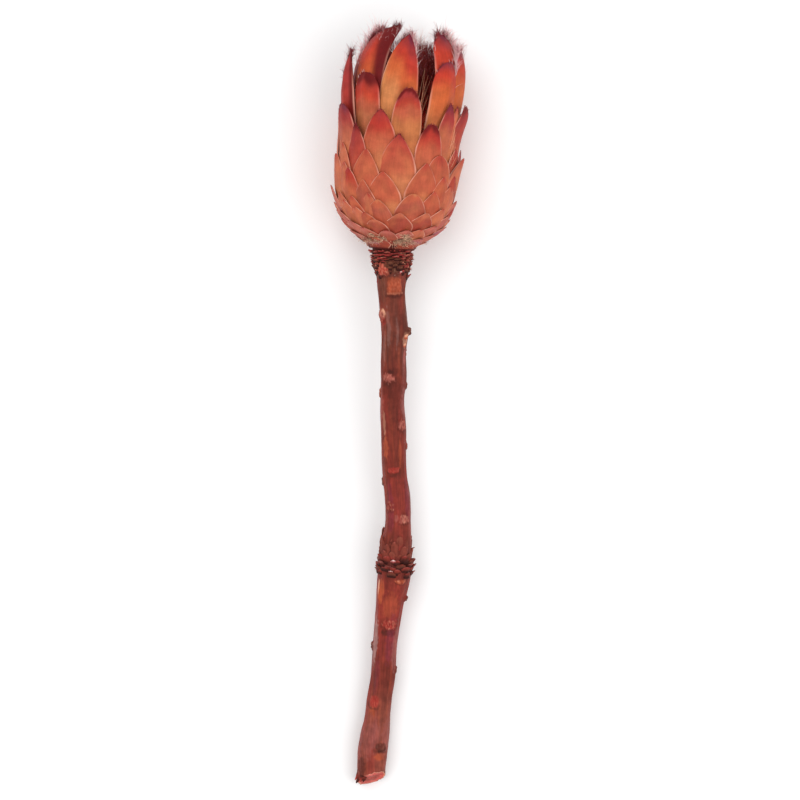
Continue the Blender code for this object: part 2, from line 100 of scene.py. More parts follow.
LONG_ROOT = 15.0
BRACT_LENGTH = ((4, 3.0), (8.8, 6.0), (12, 7.6), (22, 13.0), (34, 18.5), (50, 25.0), (72, 30.0))
CUP_RIM = 45
CUP_FLOOR = 12.2
CUP_FOOT_RADIUS = 9.8
RING_TOP = 22.6
BODY_SIDES = 72

# The uneven edge of a bract, its middle line, and the ripples and fine furrows on its face.
EDGE_WAVE = 0.035
EDGE_NICKS = 0.02
KEEL_SPREAD = 0.3
RIPPLE = 0.22
FURROW = 0.05
FURROW_TURNS = 26
# A bract wraps round the axis as if it were never nearer to it than this.
LEAST_RADIUS = 6.0
# Between these tip heights, the tip of a bract loses its pale rim.
DARK_TIPS_FROM = (45, 55)

# Outer bracts of the upper side, as (angle, tip height, width, flare at the tip, tip moved
# sideways, fullness of the tip, its bluntness, colours). Past BULGING, a flare bulges below the
# tip, which turns in again.
BULGING = 2.0
OUTER_BRACTS = (
    (-63, 62.4, 17.0, 0.3, 2.0, 2.6, 0.55, "rosy"),
    (71, 64.6, 15.0, 3.2, 0.6, 2.4, 0.6, "dark_red"),
    (59, 63.8, 10.0, 0.0, -0.8, 1.6, 0.80, "plain"),
    (50, 65.1, 11.5, 0.1, -1.0, 1.8, 0.80, "rosy"),
    (31, 55.9, 13.8, 0.4, -0.8, 2.2, 0.58, "deep_red"),
    (6, 70.6, 13.6, 1.9, 0.2, 2.3, 0.5, "golden"),
    (-19, 60.8, 16.8, 0.2, 1.3, 1.8, 0.75, "red"),
    (-42, 54.3, 12.5, -0.1, 0.0, 1.6, 0.80, "dark_red"),
    (-0.5, 50.8, 18.0, 0.1, 0.5, 1.5, 0.82, "brick"),
    (-31, 43.9, 16.0, 0.0, 1.0, 1.5, 0.80, "terracotta"),
    (44, 43.0, 15.0, 0.1, -1.4, 2.6, 0.62, "terracotta"),
    (26, 39.5, 16.0, 0.0, 0.8, 1.4, 0.85, "terracotta"),
    (71, 42.6, 17.0, 2.0, 2.0, 1.8, 0.70, "dark_left"),
    (-78, 41.2, 17.0, 0.3, 2.6, 2.2, 0.62, "plain"),
    (-55, 37.8, 12.0, 0.0, 0.0, 1.6, 0.72, "plain"),
    (-49, 35.6, 14.5, 0.1, 0.4, 1.5, 0.80, "red"),
    (-11, 34.7, 16.4, 0.0, -0.4, 1.5, 0.80, "terracotta"),
    (-31, 31.0, 13.5, 0.2, 0.3, 1.2, 0.90, "brown"),
    (-25, 25.4, 10.0, 0.2, 0.0, 1.5, 0.80, "plain"),
    (-15.5, 22.8, 13.0, 0.6, 0.0, 1.4, 0.70, "brown"),
    (17, 26.1, 15.0, 0.6, 0.0, 1.3, 0.56, "brown"),
    (38, 27.5, 14.0, 0.0, 0.0, 1.3, 0.85, "terracotta"),
    (60, 30.0, 14.0, 0.1, -0.6, 1.7, 0.80, "plain"),
    (-84, 27.5, 12.5, 0.8, 0.0, 1.9, 0.72, "pink"),
    (-62, 24.9, 12.5, 0.1, 0.0, 1.6, 0.80, "plain"),
    (80, 24.0, 12.0, 0.2, 0.0, 1.9, 0.72, "pink"),
    (-44, 23.6, 12.0, 0.0, 0.0, 1.5, 0.80, "terracotta"),
)
# More of them that fill in between those.
FILLING_BRACTS = (
    (-62, 46.0, 14.0, -0.3, 0.5, 1.8, 0.75, "plain"), (66, 46.0, 14.0, -0.3, 0.0, 1.8, 0.75, "brick"),
    (90, 46.0, 14.0, -0.5, 0.0, 1.9, 0.72, "rosy"), (-107, 55.0, 14.5, -0.9, 0.0, 1.8, 0.7, "rosy"),
    (48, 34.0, 13.0, 0.0, 0.0, 1.6, 0.80, "terracotta"),
    (66, 35.0, 13.0, -0.4, 0.0, 1.6, 0.80, "shaded"),
)
# The shorter ones near the neck that the view shows, in the same way.
FRONT_BASE_BRACTS = (
    (6, 17.8, 13.5, 1.1, 0.0, 1.15, 0.9, "russet"), (33, 18.4, 13.0, 1.0, 0.0, 1.25, 0.85, "russet"),
    (-19.5, 14.2, 11.0, 1.2, 0.0, 1.7, 0.66, "russet"), (-29, 17.0, 11.5, 1.1, 0.0, 1.3, 0.80, "terracotta"),
    (-39, 19.2, 11.5, 1.0, 0.0, 1.2, 0.85, "plain"), (-54, 21.6, 12.0, 0.8, 0.0, 1.4, 0.80, "plain"),
    (-54, 13.0, 12.0, 1.1, 0.0, 1.4, 0.76, "pink"), (-37, 10.4, 11.0, 1.1, 0.3, 1.4, 0.76, "rosy_brown"),
    (17, 10.4, 10.5, 1.1, 0.0, 1.3, 0.80, "pink"), (33, 11.0, 11.5, 1.1, 0.0, 1.3, 0.80, "plain"),
    (-7, 9.8, 9.0, 1.2, 0.0, 1.7, 0.66, "rosy_brown"), (52, 20.4, 12.0, 0.9, 0.0, 1.4, 0.80, "plain"),
    (68, 17.4, 11.5, 1.0, 0.0, 1.5, 0.78, "pink"), (50, 12.8, 12.0, 1.0, 0.4, 1.4, 0.78, "rosy_brown"),
    (64, 9.0, 10.5, 0.9, 0.0, 1.6, 0.74, "pink"), (44, 7.0, 9.5, 0.8, 0.0, 1.6, 0.74, "mauve"),
    (-71, 17.2, 11.5, 0.9, 0.0, 1.5, 0.76, "pink"), (-66, 8.6, 10.5, 0.9, 0.0, 1.6, 0.74, "pink"),
    (-24, 6.4, 9.5, 0.7, 0.0, 1.6, 0.74, "russet"), (24, 5.4, 8.5, 0.7, 0.0, 1.6, 0.70, "rosy_brown"),
    (-48, 5.2, 9.0, 0.7, 0.0, 1.6, 0.70, "mauve"), (80, 12.6, 10.5, 0.7, 0.0, 1.6, 0.74, "mauve"),
)
# The rest of the shorter ones stand in rings, as (tip height, how many, width, turned by).
BASE_RINGS = (
    (19.8, 15, 11.4, 5), (15.8, 14, 11.2, 14), (12.2, 13, 10.6, 2), (8.8, 12, 9.8, 12), (5.6, 10, 9.0, 0),
)
# Root share, widest place, roll, twist and paleness of the rim.
OUTER_FORM = (0.8, 0.5, 0.45, 0.28, 0.6)
BASE_FORM = (0.7, 0.5, 0.5, 0.25, 1.0)

# Cells of a bract, across and along it.
UPPER_CELLS = (16, 20)
LOWER_CELLS = (14, 16)
BASE_CELLS = (12, 12)
LONG_CELLS = (22, 46)

# The outer bracts stand on the lower side again, half a turn round. Up to this angle from the top
# they would show beside the upper ones, so they are shorter there and turn in.
BESIDE_DEG = 112
BESIDE_SHORTER = 5
BESIDE_FLARE = -1.6
LOWER_FLARE = 0.3
# The rings of short bracts leave the top to the bracts that are named one by one.
RINGS_FROM_DEG = 76
BASE_DRESSES = ("brown", "terracotta", "brick", "pink", "plain", "pink")

# Long inner bracts, as (angle, tip height, width, inset, tip turned in by, tip moved sideways,
# place where they are widest, rim roll, fullness of the tip, its bluntness, how much higher its
# right side is, colours, pale hairs, dark hairs, length of the hairs).
LONG_BRACTS = (
    (-6, 93.6, 18.0, 0.0, 1.6, 4.0, 0.66, 2.4, 2.2, 0.80, 0.0, "amber", 120, 110, 2.6),
    (46.5, 82.8, 16.5, 0.0, 0.6, 0.8, 0.70, 1.6, 3.6, 0.50, 1.6, "orange", 16, 60, 1.4),
    (76, 89.0, 16.0, 0.0, -0.6, 0.0, 0.72, 1.2, 3.4, 0.60, 0.0, "orange", 260, 90, 3.2),
    (100, 86.0, 14.0, 0.0, 1.0, 0.6, 0.68, 1.0, 2.2, 0.72, 0.0, "amber", 60, 30, 3.0),
    (134, 87.0, 14.0, 0.0, 1.0, -0.5, 0.68, 1.0, 2.2, 0.72, 0.0, "scarlet", 60, 30, 3.0),
    (166, 85.0, 14.0, 0.0, 1.0, 0.4, 0.68, 1.0, 2.2, 0.72, 0.0, "amber", 60, 30, 3.0),
    (-158, 91.0, 13.5, 0.0, 1.0, 0.0, 0.68, 1.0, 2.2, 0.72, 0.0, "orange", 60, 30, 3.0),
    (-98, 77.0, 13.0, 0.0, 1.5, 0.0, 0.68, 1.0, 2.2, 0.72, 0.0, "wine", 40, 30, 2.6),
    (-67, 84.9, 13.5, -0.9, 1.0, 2.2, 0.70, 1.6, 2.2, 0.90, 0.0, "crimson_sided", 30, 110, 3.4),
    (-37, 76.4, 14.6, 0.0, 0.6, 0.3, 0.74, 1.2, 3.6, 0.52, 0.0, "dark_topped", 10, 50, 1.0),
    (-39.5, 95.6, 17.2, 2.4, 3.6, -0.8, 0.84, 1.0, 6.4, 0.38, 4.2, "half_shaded", 60, 220, 2.2),
    (-64, 94.6, 13.0, 3.8, 3.8, 2.6, 0.84, 0.6, 3.2, 0.60, 0.0, "wine", 260, 260, 3.8),
    (54, 94.8, 17.0, 1.4, 0.0, 0.0, 0.80, 1.0, 3.2, 0.58, 0.0, "scarlet", 320, 220, 3.2),
    (88, 90.0, 12.0, 3.2, 1.0, 0.4, 0.74, 0.8, 2.2, 0.72, 0.0, "orange", 200, 60, 3.0),
    (118, 93.0, 14.0, 3.2, 2.0, 0.0, 0.72, 0.8, 2.2, 0.72, 0.0, "scarlet", 140, 50, 4.0),
    (150, 85.0, 14.0, 3.2, 2.0, 0.4, 0.72, 0.8, 2.2, 0.72, 0.0, "wine", 200, 90, 4.0),
    (-178, 87.0, 13.5, 3.2, 2.0, 0.0, 0.72, 0.8, 2.2, 0.72, 0.0, "wine", 160, 90, 4.0),
)

# Root share, twist and paleness of the rim of a long bract.
LONG_FORM = (0.5, 0.3, 0.55)

# Clumps of wool near the neck, as (angle, height, how many hairs).
WOOL_CLUMPS = (
    (17, 8.0, 180), (24, 6.2, 180), (14, 5.6, 165), (22, 4.4, 135), (-50, 5.0, 60), (-40, 4.6, 90),
    (36, 5.0, 60), (-24, 5.0, 120), (-30, 7.6, 75), (-14, 6.2, 60), (5, 4.4, 90),
)
LOWER_WOOL_CLUMPS = 46
LOWER_WOOL_HAIRS = 21

# The heap of florets as (height, radius), and the height of its middle.
FLORET_SHAPE = ((22.98, 14.6), (34, 15.4), (48, 14.6), (60, 11.5), (69, 6.0))
FLORET_TOP = 71.0
FLORET_BODY_SIDES = 48
GOLDEN_ANGLE_DEG = 137.508
# Loose fibres: how many, how many of them in the gap that shows them, and where the others stand.
FIBRES = 80
FIBRES_IN_GAP = 16
FIBRE_ANGLES = (-22, 60, 120, 190, 250, 300)
# Fine hairs over the florets: how many, how many of those all round, and how many pale ones more.
FUZZ_HAIRS = 2600
FUZZ_ALL_ROUND = 1200
PALE_FUZZ_HAIRS = 160

# Long bracts between these angles have their pale hairs at the right, the others at the left.
FRINGED_RIGHT_DEG = (-20, 70)
# Outer bracts with tips from this height on have short hairs.
SHORT_FRINGE_FROM = 50
SHORT_FRINGE_HAIRS = 60
SIDE_FIBRES = 7

# Colours along a bract, as (place from its root to its tip, colour).
DRESSES = {
    "dark_left": ((0.3, "tan_salmon"), (0.8, "salmon"), (1.0, "brick")),
    "shaded": ((0.3, "core"), (0.6, "russet"), (0.9, "brick"), (1.0, "rose")),
    "plain": ((0.3, "tan_salmon"), (0.6, "salmon"), (0.9, "salmon"), (1.0, "brick")),
    "terracotta": ((0.3, "tan_salmon"), (0.55, "terracotta"), (0.85, "terracotta"), (1.0, "brick")),
    "brick": ((0.3, "tan_salmon"), (0.55, "terracotta"), (0.85, "brick"), (1.0, "rose")),
    "red": ((0.3, "tan_salmon"), (0.6, "terracotta"), (0.85, "red"), (1.0, "rose")),
    "dark_red": ((0.3, "terracotta"), (0.6, "brick"), (0.85, "rose"), (1.0, "crimson")),
    "deep_red": ((0.3, "tan_salmon"), (0.6, "terracotta"), (0.82, "red"), (0.95, "crimson")),
    "golden": (
        (0.3, "sand"), (0.6, "sand"), (0.74, "terracotta"), (0.86, "red"), (0.95, "rose"), (0.99, "crimson"),
    ),
    "rosy": ((0.3, "tan_salmon"), (0.55, "salmon"), (0.88, "rose"), (1.0, "purple")),
    "brown": ((0.3, "terracotta"), (0.7, "brown"), (0.9, "terracotta"), (1.0, "tan_salmon")),
    "russet": ((0.3, "russet"), (0.7, "russet"), (0.9, "salmon"), (1.0, "salmon")),
    "rosy_brown": ((0.3, "russet"), (0.55, "brown"), (0.85, "pink"), (1.0, "rose")),
    "mauve": ((0.3, "russet"), (0.6, "mauve"), (0.9, "pink"), (1.0, "purple")),
    "pink": ((0.3, "russet"), (0.6, "pink"), (0.9, "pink"), (1.0, "rose")),
    "amber": (
        (0.3, "golden_tan"), (0.66, "golden_tan"), (0.77, "orange"), (0.86, "scarlet"), (0.94, "rose"),
        (1.0, "purple"),
    ),
    "orange": (
        (0.3, "golden_tan"), (0.52, "golden_tan"), (0.74, "orange"), (0.88, "scarlet"), (1.0, "purple"),
    ),
    "scarlet": (
        (0.3, "tan_salmon"), (0.6, "orange"), (0.8, "scarlet"), (0.91, "scarlet"), (0.96, "rose"),
        (1.0, "purple"),
    ),
    "crimson_sided": ((0.3, "golden_tan"), (0.5, "salmon"), (0.68, "red"), (0.9, "rose"), (1.0, "purple")),
    "wine": ((0.3, "golden_tan"), (0.55, "salmon"), (0.75, "rose"), (0.92, "rose"), (1.0, "purple")),
    # In dark_topped, the dark crimson top is partly the bract's own curled tip and partly painted shadow.
    "dark_topped": (
        (0.3, "tan_salmon"), (0.7, "tan_salmon"), (0.8, "terracotta"), (0.9, "scarlet"), (0.93, "red"),
        (0.97, "crimson"),
    ),
    "half_shaded": ((0.3, "tan_salmon"), (0.76, "orange"), (0.9, "scarlet"), (0.98, "rose")),
}

# The stem's own line, from the neck to the cut end, as (x, y, z, radius).
STEM_LINE = (
    (-3.7, 65.3, 23.9, 8.0), (-3.6, 60.5, 23.6, 7.9), (-3.5, 55.5, 23.2, 6.8), (-3.5, 49.0, 22.7, 5.9),
    (-3.0, 40.0, 22.1, 5.8), (-2.2, 30.6, 21.2, 5.8), (-2.7, 21.5, 20.4, 5.3), (-2.8, 9.8, 19.5, 5.6),
    (-3.3, -0.7, 18.7, 5.2), (-2.8, -16.3, 17.5, 5.5), (-2.2, -31.9, 16.3, 5.4), (-1.1, -42.3, 15.4, 5.6),
    (-0.9, -52.7, 14.6, 5.5), (-1.6, -61.0, 13.9, 6.6), (-2.2, -70.5, 13.1, 7.3), (-2.9, -78.5, 12.4, 7.1),
    (-4.6, -88.0, 11.5, 6.0), (-5.9, -99.6, 10.4, 5.3), (-6.9, -110.0, 9.5, 5.3), (-7.6, -120.4, 8.6, 5.3),
    (-9.1, -130.8, 7.8, 5.4), (-10.1, -139.5, 7.1, 5.6), (-11.0, -146.0, 6.8, 6.2), (-11.8, -152.5, 6.6, 6.6),
    (-12.2, -158.5, 6.3, 6.4), (-12.6, -165.3, 6.1, 6.2), (-12.9, -172.0, 6.0, 6.2),
)
STEM_TOP = 66.0
STEM_LENGTH = 237.0
# Cells round the stem and along it.
TUBE_CELLS = (110, 640)
# The middle of the cut face, and how far it is turned about Z and tipped up.
CUT_MIDDLE = (-12.6, -165.4, 6.0)
CUT_TURN_DEG = 16.0
CUT_TIP_DEG = 24.0
# What the cut shows from its edge inward, as (share of the size before, colour).
CUT_RINGS = (
    (0.96, "bark_peach"), (0.9, "cut_wood"), (0.75, "cut_wood"), (0.5, "bark_pink"), (0.2, "cut_wood"),
)

# Colours of the bark along the stem, as (y, colour).
BARK_STOPS = (
    (-160, "bark_worn"), (-138, "bark_worn"), (-120, "bark"), (-100, "bark_red"), (-84, "bark_red"),
    (-68, "bark_dark"), (-54, "bark"), (-16, "bark"), (8, "bark"), (28, "bark_grey"), (56, "bark_grey"),
)

# Scars that are squarer than this have cleaner edges.
SQUARE_FROM = 3
# Raised leaf scars and buds, as (y, angle, length, width, height, squareness, colour).
LEAF_SCARS = (
    (50.8, 10, 8.0, 6.6, 0.8, 5, "bark_orange"), (58.0, -31, 5.2, 5.2, 1.0, 2, "brick"),
    (58.8, 16, 4.8, 5.0, -0.6, 2, "bark_olive"), (38.5, -62, 5.0, 4.0, 0.7, 2, "bark_pink"),
    (31.0, 80, 3.0, 3.0, 1.5, 2, "bark_dark"), (11.0, -24, 4.6, 6.0, 0.9, 2, "bark_pink"),
    (4.0, -100, 3.4, 3.0, 0.7, 2, "bark_orange"), (7.5, 96, 3.0, 3.0, 0.6, 2, "bark_dark"),
    (-9.6, 46, 5.0, 4.0, 1.0, 2, "bark_pink"), (-19.0, 92, 3.0, 3.0, 0.6, 2, "bark_red"),
    (-29.0, -4, 2.8, 5.2, 0.6, 4, "bark_scarlet"), (-34.0, -98, 3.2, 3.0, 0.6, 2, "bark_dark"),
    (-45.0, -40, 5.0, 4.2, 0.4, 2, "bark_red"), (-77.2, 24, 2.2, 5.6, 0.9, 2, "bark_orange"),
    (-84.6, 84, 2.6, 2.4, 1.0, 2, "bark_dark"), (-96.5, 12, 4.6, 6.6, 0.5, 2, "bark_scarlet"),
    (-107.0, -88, 3.6, 3.0, 0.9, 2, "bark_dark"), (-116.5, 88, 3.2, 3.0, 0.5, 2, "bark_dark"),
    (-130.8, -26, 5.4, 4.6, 0.25, 3.5, "bark_scarlet"), (-150.5, 30, 4.0, 5.6, 0.7, 3.5, "bark_dark"),
    (-50.5, 30, 4.0, 4.6, 0.5, 3, "bark_pink"),
    (44.0, 170, 5.0, 4.6, 0.8, 3, "bark_orange"), (22.0, 130, 4.6, 4.2, 0.8, 3, "bark_pink"),
    (14.0, -150, 5.0, 4.6, 0.8, 3, "bark_scarlet"), (-4.0, 165, 4.8, 4.4, 0.8, 3, "bark_pink"),
    (-24.0, 150, 4.6, 4.4, 0.8, 3, "bark_orange"), (-38.0, 200, 4.6, 4.4, 0.8, 3, "bark_scarlet"),
    (-92.0, 150, 4.8, 4.6, 0.8, 3, "bark_pink"), (-122.0, 205, 4.6, 4.2, 0.8, 3, "bark_scarlet"),
)
# Patches where the bark has another colour, as (y, angle, length, width, colour, strength).
# Some are painted light: the dark bands just under the scars at y 46.4, 7.6, -31.5, -100.4 and
# -152.2 are painted shadow, and the pink, mauve and pale ones on the flanks at y 0, -2, -104 and
# -106 are painted sheen.
BARK_PATCHES = (
    (39.5, -50, 3.4, 3.0, "bark_peach", 1.0), (36.0, -54, 3.6, 3.2, "bark_scarlet", 0.8),
    (27.5, 56, 7.0, 3.4, "bark_peach", 0.8), (20.0, 66, 9.0, 2.6, "bark_pink", 0.7),
    (-19.0, -42, 10.0, 3.2, "bark_orange", 0.9), (-83.0, -46, 11.0, 4.0, "bark_orange", 1.0),
    (-81.0, -62, 8.0, 1.6, "bark_peach", 0.8), (-88.0, 5, 12.0, 8.0, "bark_orange", 0.5),
    (-137.0, -26, 8.0, 4.0, "bark_orange", 0.7), (-104.0, -60, 22.0, 3.8, "bark_pale", 0.7),
    (-154.7, 28, 4.0, 5.0, "bark_orange", 0.8),
    (-100.4, 14, 3.0, 7.0, "bark_dark", 0.9), (-106.0, 60, 22.0, 4.6, "bark_mauve", 0.9),
    (46.4, 12, 1.8, 7.0, "bark_dark", 0.9), (13.6, -14, 2.2, 2.4, "pit", 0.8),
    (7.6, -24, 3.0, 6.0, "bark_dark", 0.6), (-31.5, -4, 1.4, 5.0, "bark_dark", 0.7),
    (-152.2, 30, 1.8, 4.8, "pit", 0.8), (-160.0, -50, 9.0, 5.0, "bark_dark", 0.7),
    (-148.0, -70, 12.0, 4.0, "bark_mauve", 0.8), (-146.0, 0, 12.0, 6.0, "bark_mauve", 0.4),
    (30.0, 40, 20.0, 5.0, "bark_dark", 0.5), (20.0, -5, 22.0, 5.0, "bark_dark", 0.4),
    (50.0, -40, 12.0, 4.4, "bark_olive", 0.5),
    (4.0, 5, 26.0, 6.0, "bark_dark", 0.5), (-2.0, -62, 12.0, 3.0, "bark_pink", 0.5),
    (0.0, 66, 14.0, 4.0, "bark_mauve", 0.9), (51.0, -16, 6.6, 1.0, "pit", 0.7),
    (47.6, 12, 1.0, 6.2, "bark_peach", 0.6),
    (-42.0, 10, 22.0, 7.0, "bark_red", 0.5), (-60.0, 160, 30.0, 8.0, "bark_orange", 0.4),
    (30.0, 190, 30.0, 7.0, "bark_red", 0.5), (-110.0, 170, 30.0, 7.0, "bark_orange", 0.4),
    (-46.0, -34, 24.0, 3.6, "purple", 0.4), (-42.0, 52, 20.0, 3.4, "purple", 0.4),
    (-103.0, 24, 24.0, 4.4, "purple", 0.45), (-120.0, -30, 18.0, 3.0, "purple", 0.3),
    (-146.0, -20, 22.0, 6.0, "bark_mauve", 0.5), (-146.0, 44, 18.0, 3.6, "bark_mauve", 0.5),
    (33.0, -26, 18.0, 1.8, "bark_pale", 0.2), (31.0, 12, 14.0, 1.2, "bark_pale", 0.18),
    (24.0, -50, 16.0, 1.6, "bark_pale", 0.18), (-9.0, -46, 12.0, 1.4, "bark_peach", 0.35),
    (-50.0, -8, 3.4, 2.0, "bark_pink", 0.7), (-22.0, 30, 14.0, 1.6, "bark_orange", 0.5),
)

# Small dry scales, as (y, how far their roots stand out of the bark, how many, length, width,
# lean out in degrees, kind).
SCALE_ROWS = (
    (66.0, 0.6, 34, 1.4, 1.2, 34, "bristle"), (64.9, 0.6, 17, 1.1, 4.2, 34, "ledge"),
    (63.9, 0.5, 15, 1.1, 5.0, 32, "ledge"), (62.9, 0.5, 19, 1.1, 3.6, 30, "ledge"),
    (61.9, 0.4, 17, 1.1, 4.2, 28, "ledge"), (60.8, 0.4, 20, 1.2, 3.2, 24, "collar"),
    (59.6, 0.35, 20, 1.3, 3.0, 20, "collar"), (58.4, 0.3, 18, 1.4, 3.0, 16, "collar"),
    (57.2, 0.25, 17, 1.5, 2.8, 13, "collar"), (56.0, 0.2, 15, 1.5, 2.8, 10, "collar"),
    (54.6, 0.1, 12, 1.6, 2.6, 7, "collar"),
    (-64.4, -0.1, 8, 5.2, 5.0, 0, "tongue"), (-66.2, 0.0, 10, 3.8, 4.6, 1, "tongue"),
    (-68.0, 0.15, 11, 2.8, 4.4, 3, "tongue"), (-70.0, 0.4, 10, 2.2, 5.0, 8, "lip"),
    (-71.8, 0.5, 10, 2.0, 5.2, 12, "lip"), (-73.5, 0.5, 10, 1.9, 5.0, 13, "lip"),
    (-75.0, 0.4, 10, 1.7, 4.6, 13, "lip"),
)
# Stretches of the collar, as (lowest y, highest y, lowest angle, highest angle): one is bare, and
# the scales of the other are darker.
COLLAR_BARE = (54.0, 60.8, -48, -14)
COLLAR_HOLLOW = (54.0, 62.0, -14, 34)
# Single scales, as (y, angle, length, width, lean out in degrees, kind).
SINGLE_SCALES = (
    (53.2, 76, 2.4, 3.8, 20, "collar"), (52.4, -80, 3.0, 3.6, 4, "tongue"), (55.0, -43, 1.6, 1.6, 10, "pale"),
    (54.5, 12, 1.1, 1.8, 8, "pale"), (54.9, 22, 1.4, 1.8, 8, "pale"), (55.4, 34, 1.6, 2.0, 12, "pale"),
    (-65.4, -60, 4.8, 3.6, 1, "tongue"), (-67.4, -88, 4.2, 1.8, -3, "lip"),
    (-72.8, -84, 3.2, 3.2, 2, "tongue"),
    (-74.6, -86, 1.6, 2.6, 20, "tongue"), (-64.2, 84, 1.4, 2.2, 22, "lip"), (-68.8, 84, 1.5, 2.2, 30, "lip"),
    (-74.6, 84, 1.6, 2.8, 24, "lip"), (-69.6, -6, 1.3, 3.2, 14, "pale"), (-74.2, -12, 1.3, 3.0, 14, "pale"),
    (28.4, 62, 1.6, 2.8, 10, "flake"), (25.0, 58, 1.2, 2.4, 8, "flake"), (38.6, -60, 1.2, 2.6, 8, "flake"),
    (-72.6, 8, 1.3, 3.2, 14, "lip"), (-65.0, 170, 3.0, 2.4, 24, "lip"), (-70.0, 205, 3.0, 2.4, 24, "lip"),
)
# A ragged heap of scales at the right of the collar: lowest and highest y and angle, and how many.
RAGGED_HEAP = (56.8, 64.6, 34, 92, 60)
# Torn flaps of bark round the cut end, as (y, angle, length, width, lean out in degrees).
TORN_FLAPS = (
    (-162.0, -84, 3.2, 2.6, 6), (-164.0, -66, 2.6, 2.2, 8), (-164.0, -48, 2.0, 2.2, 3),
    (-164.6, -34, 1.4, 2.0, 2), (-165.2, -98, 1.8, 3.0, 2), (-164.6, -116, 1.6, 3.0, 2),
    (-164.5, 150, 1.4, 3.0, 3),
)
# Colours of the scales from root to tip. The pit colour in them is painted shade, mostly at the roots, where
# the scales lie over one another.
SCALE_DRESSES = {
    "bristle": (
        ((0.3, "pit"), (0.8, "bark_dark"), (1.0, "scale_red")),
        ((0.3, "pit"), (0.7, "scale_red"), (1.0, "bark_pink")),
    ),
    "ledge": (
        ((0.35, "pit"), (0.55, "scale_red"), (0.85, "scale_red"), (1.0, "scale_pink")),
        ((0.35, "pit"), (0.7, "bark_grey"), (0.9, "scale_red"), (1.0, "scale_red")),
        ((0.3, "pit"), (0.6, "scale_red"), (0.9, "scale_pink"), (1.0, "bark_peach")),
    ),
    "collar": (
        ((0.3, "pit"), (0.6, "bark_dark"), (0.85, "scale_red"), (1.0, "scale_pink")),
        ((0.3, "pit"), (0.7, "bark_olive"), (0.9, "bark_grey"), (1.0, "bark_pink")),
        ((0.3, "pit"), (0.6, "bark_grey"), (0.85, "scale_red"), (1.0, "bark_peach")),
    ),
    "tongue": (
        ((0.0, "bark_umber"), (0.9, "bark_umber"), (1.0, "bark_pink")),
        ((0.1, "bark_red"), (0.5, "bark_umber"), (1.0, "bark_worn")),
    ),
    "lip": (
        ((0.2, "pit"), (0.6, "bark_dark"), (0.8, "bark_mauve"), (1.0, "bark_pink")),
        ((0.2, "pit"), (0.6, "bark_dark"), (0.85, "bark_red"), (1.0, "bark_mauve")),
        ((0.2, "pit"), (0.6, "bark"), (0.85, "bark_red"), (1.0, "bark_mauve")),
        ((0.2, "pit"), (0.6, "bark_grey"), (1.0, "bark")),
    ),
    "olive": (
        ((0.3, "pit"), (0.7, "bark_olive"), (1.0, "bark_olive")),
        ((0.3, "pit"), (0.7, "bark_grey"), (1.0, "bark_olive")),
    ),
    "pale": (((0.3, "bark_dark"), (0.7, "scale_pink"), (1.0, "hair_pale")),),
    "flake": (((0.2, "bark_orange"), (0.7, "bark_peach"), (1.0, "bark_peach")),),
    "torn": (
        ((0.2, "bark"), (0.6, "bark_dark"), (1.0, "pit")),
        ((0.2, "bark_dark"), (0.7, "bark_red"), (1.0, "cut_wood")),
    ),
}

# The lamps as (name, place, size, power), and the spot that they shine at.
LAMPS = (("key", (-0.32, 0.35, 1.15), 0.9, 4.5), ("fill", (0.6, -0.2, 1.0), 1.0, 3.8))
LIT_SPOT = Vector((0, 0.03, 0.02))
# The camera's view in millimetres: its middle, the height of the plane it is measured at, and its
# width there.
VIEW_MIDDLE = (0.57, 1.985)
VIEW_LEVEL = 25.0
VIEW_WIDTH = 347.2
LENS = 135.0
SENSOR = 36.0


def screen_colour(red, green, blue):
    """A colour given as a screen shows it, from 0 to 255, in the linear values that shaders use."""

    def linear(value):
        share = value / 255
        return share / 12.92 if share <= 0.04045 else ((share + 0.055) / 1.055) ** 2.4

    return (linear(red), linear(green), linear(blue))


def colour_property(name, description, red, green, blue):
    return FloatVectorProperty(
        name=name, description=description, subtype="COLOR", size=3, min=0.0, max=1.0,
        default=screen_colour(red, green, blue),
    )


def length_property(name, description, millimetres):
    return FloatProperty(
        name=name, description=description, default=millimetres * MM, unit="LENGTH", subtype="DISTANCE",
    )


class ProteaSizes(PropertyGroup):
    bract_thickness: length_property("Bract thickness", "Thickness of a bract along its middle", 0.85)
    rim_thickness: length_property("Rim thickness", "Thickness of a bract at its rim", 0.3)
    keel_height: length_property("Keel height", "How far the middle line of a bract stands out", 0.35)
    bark_relief: length_property("Bark relief", "Depth of the furrows along the stem", 0.32)
    hair_thickness: length_property("Hair thickness", "Thickness of a hair at its root", 0.2)
    floret_count: IntProperty(
        name="Florets", description="How many florets stand inside the bracts", default=420, min=1,
    )


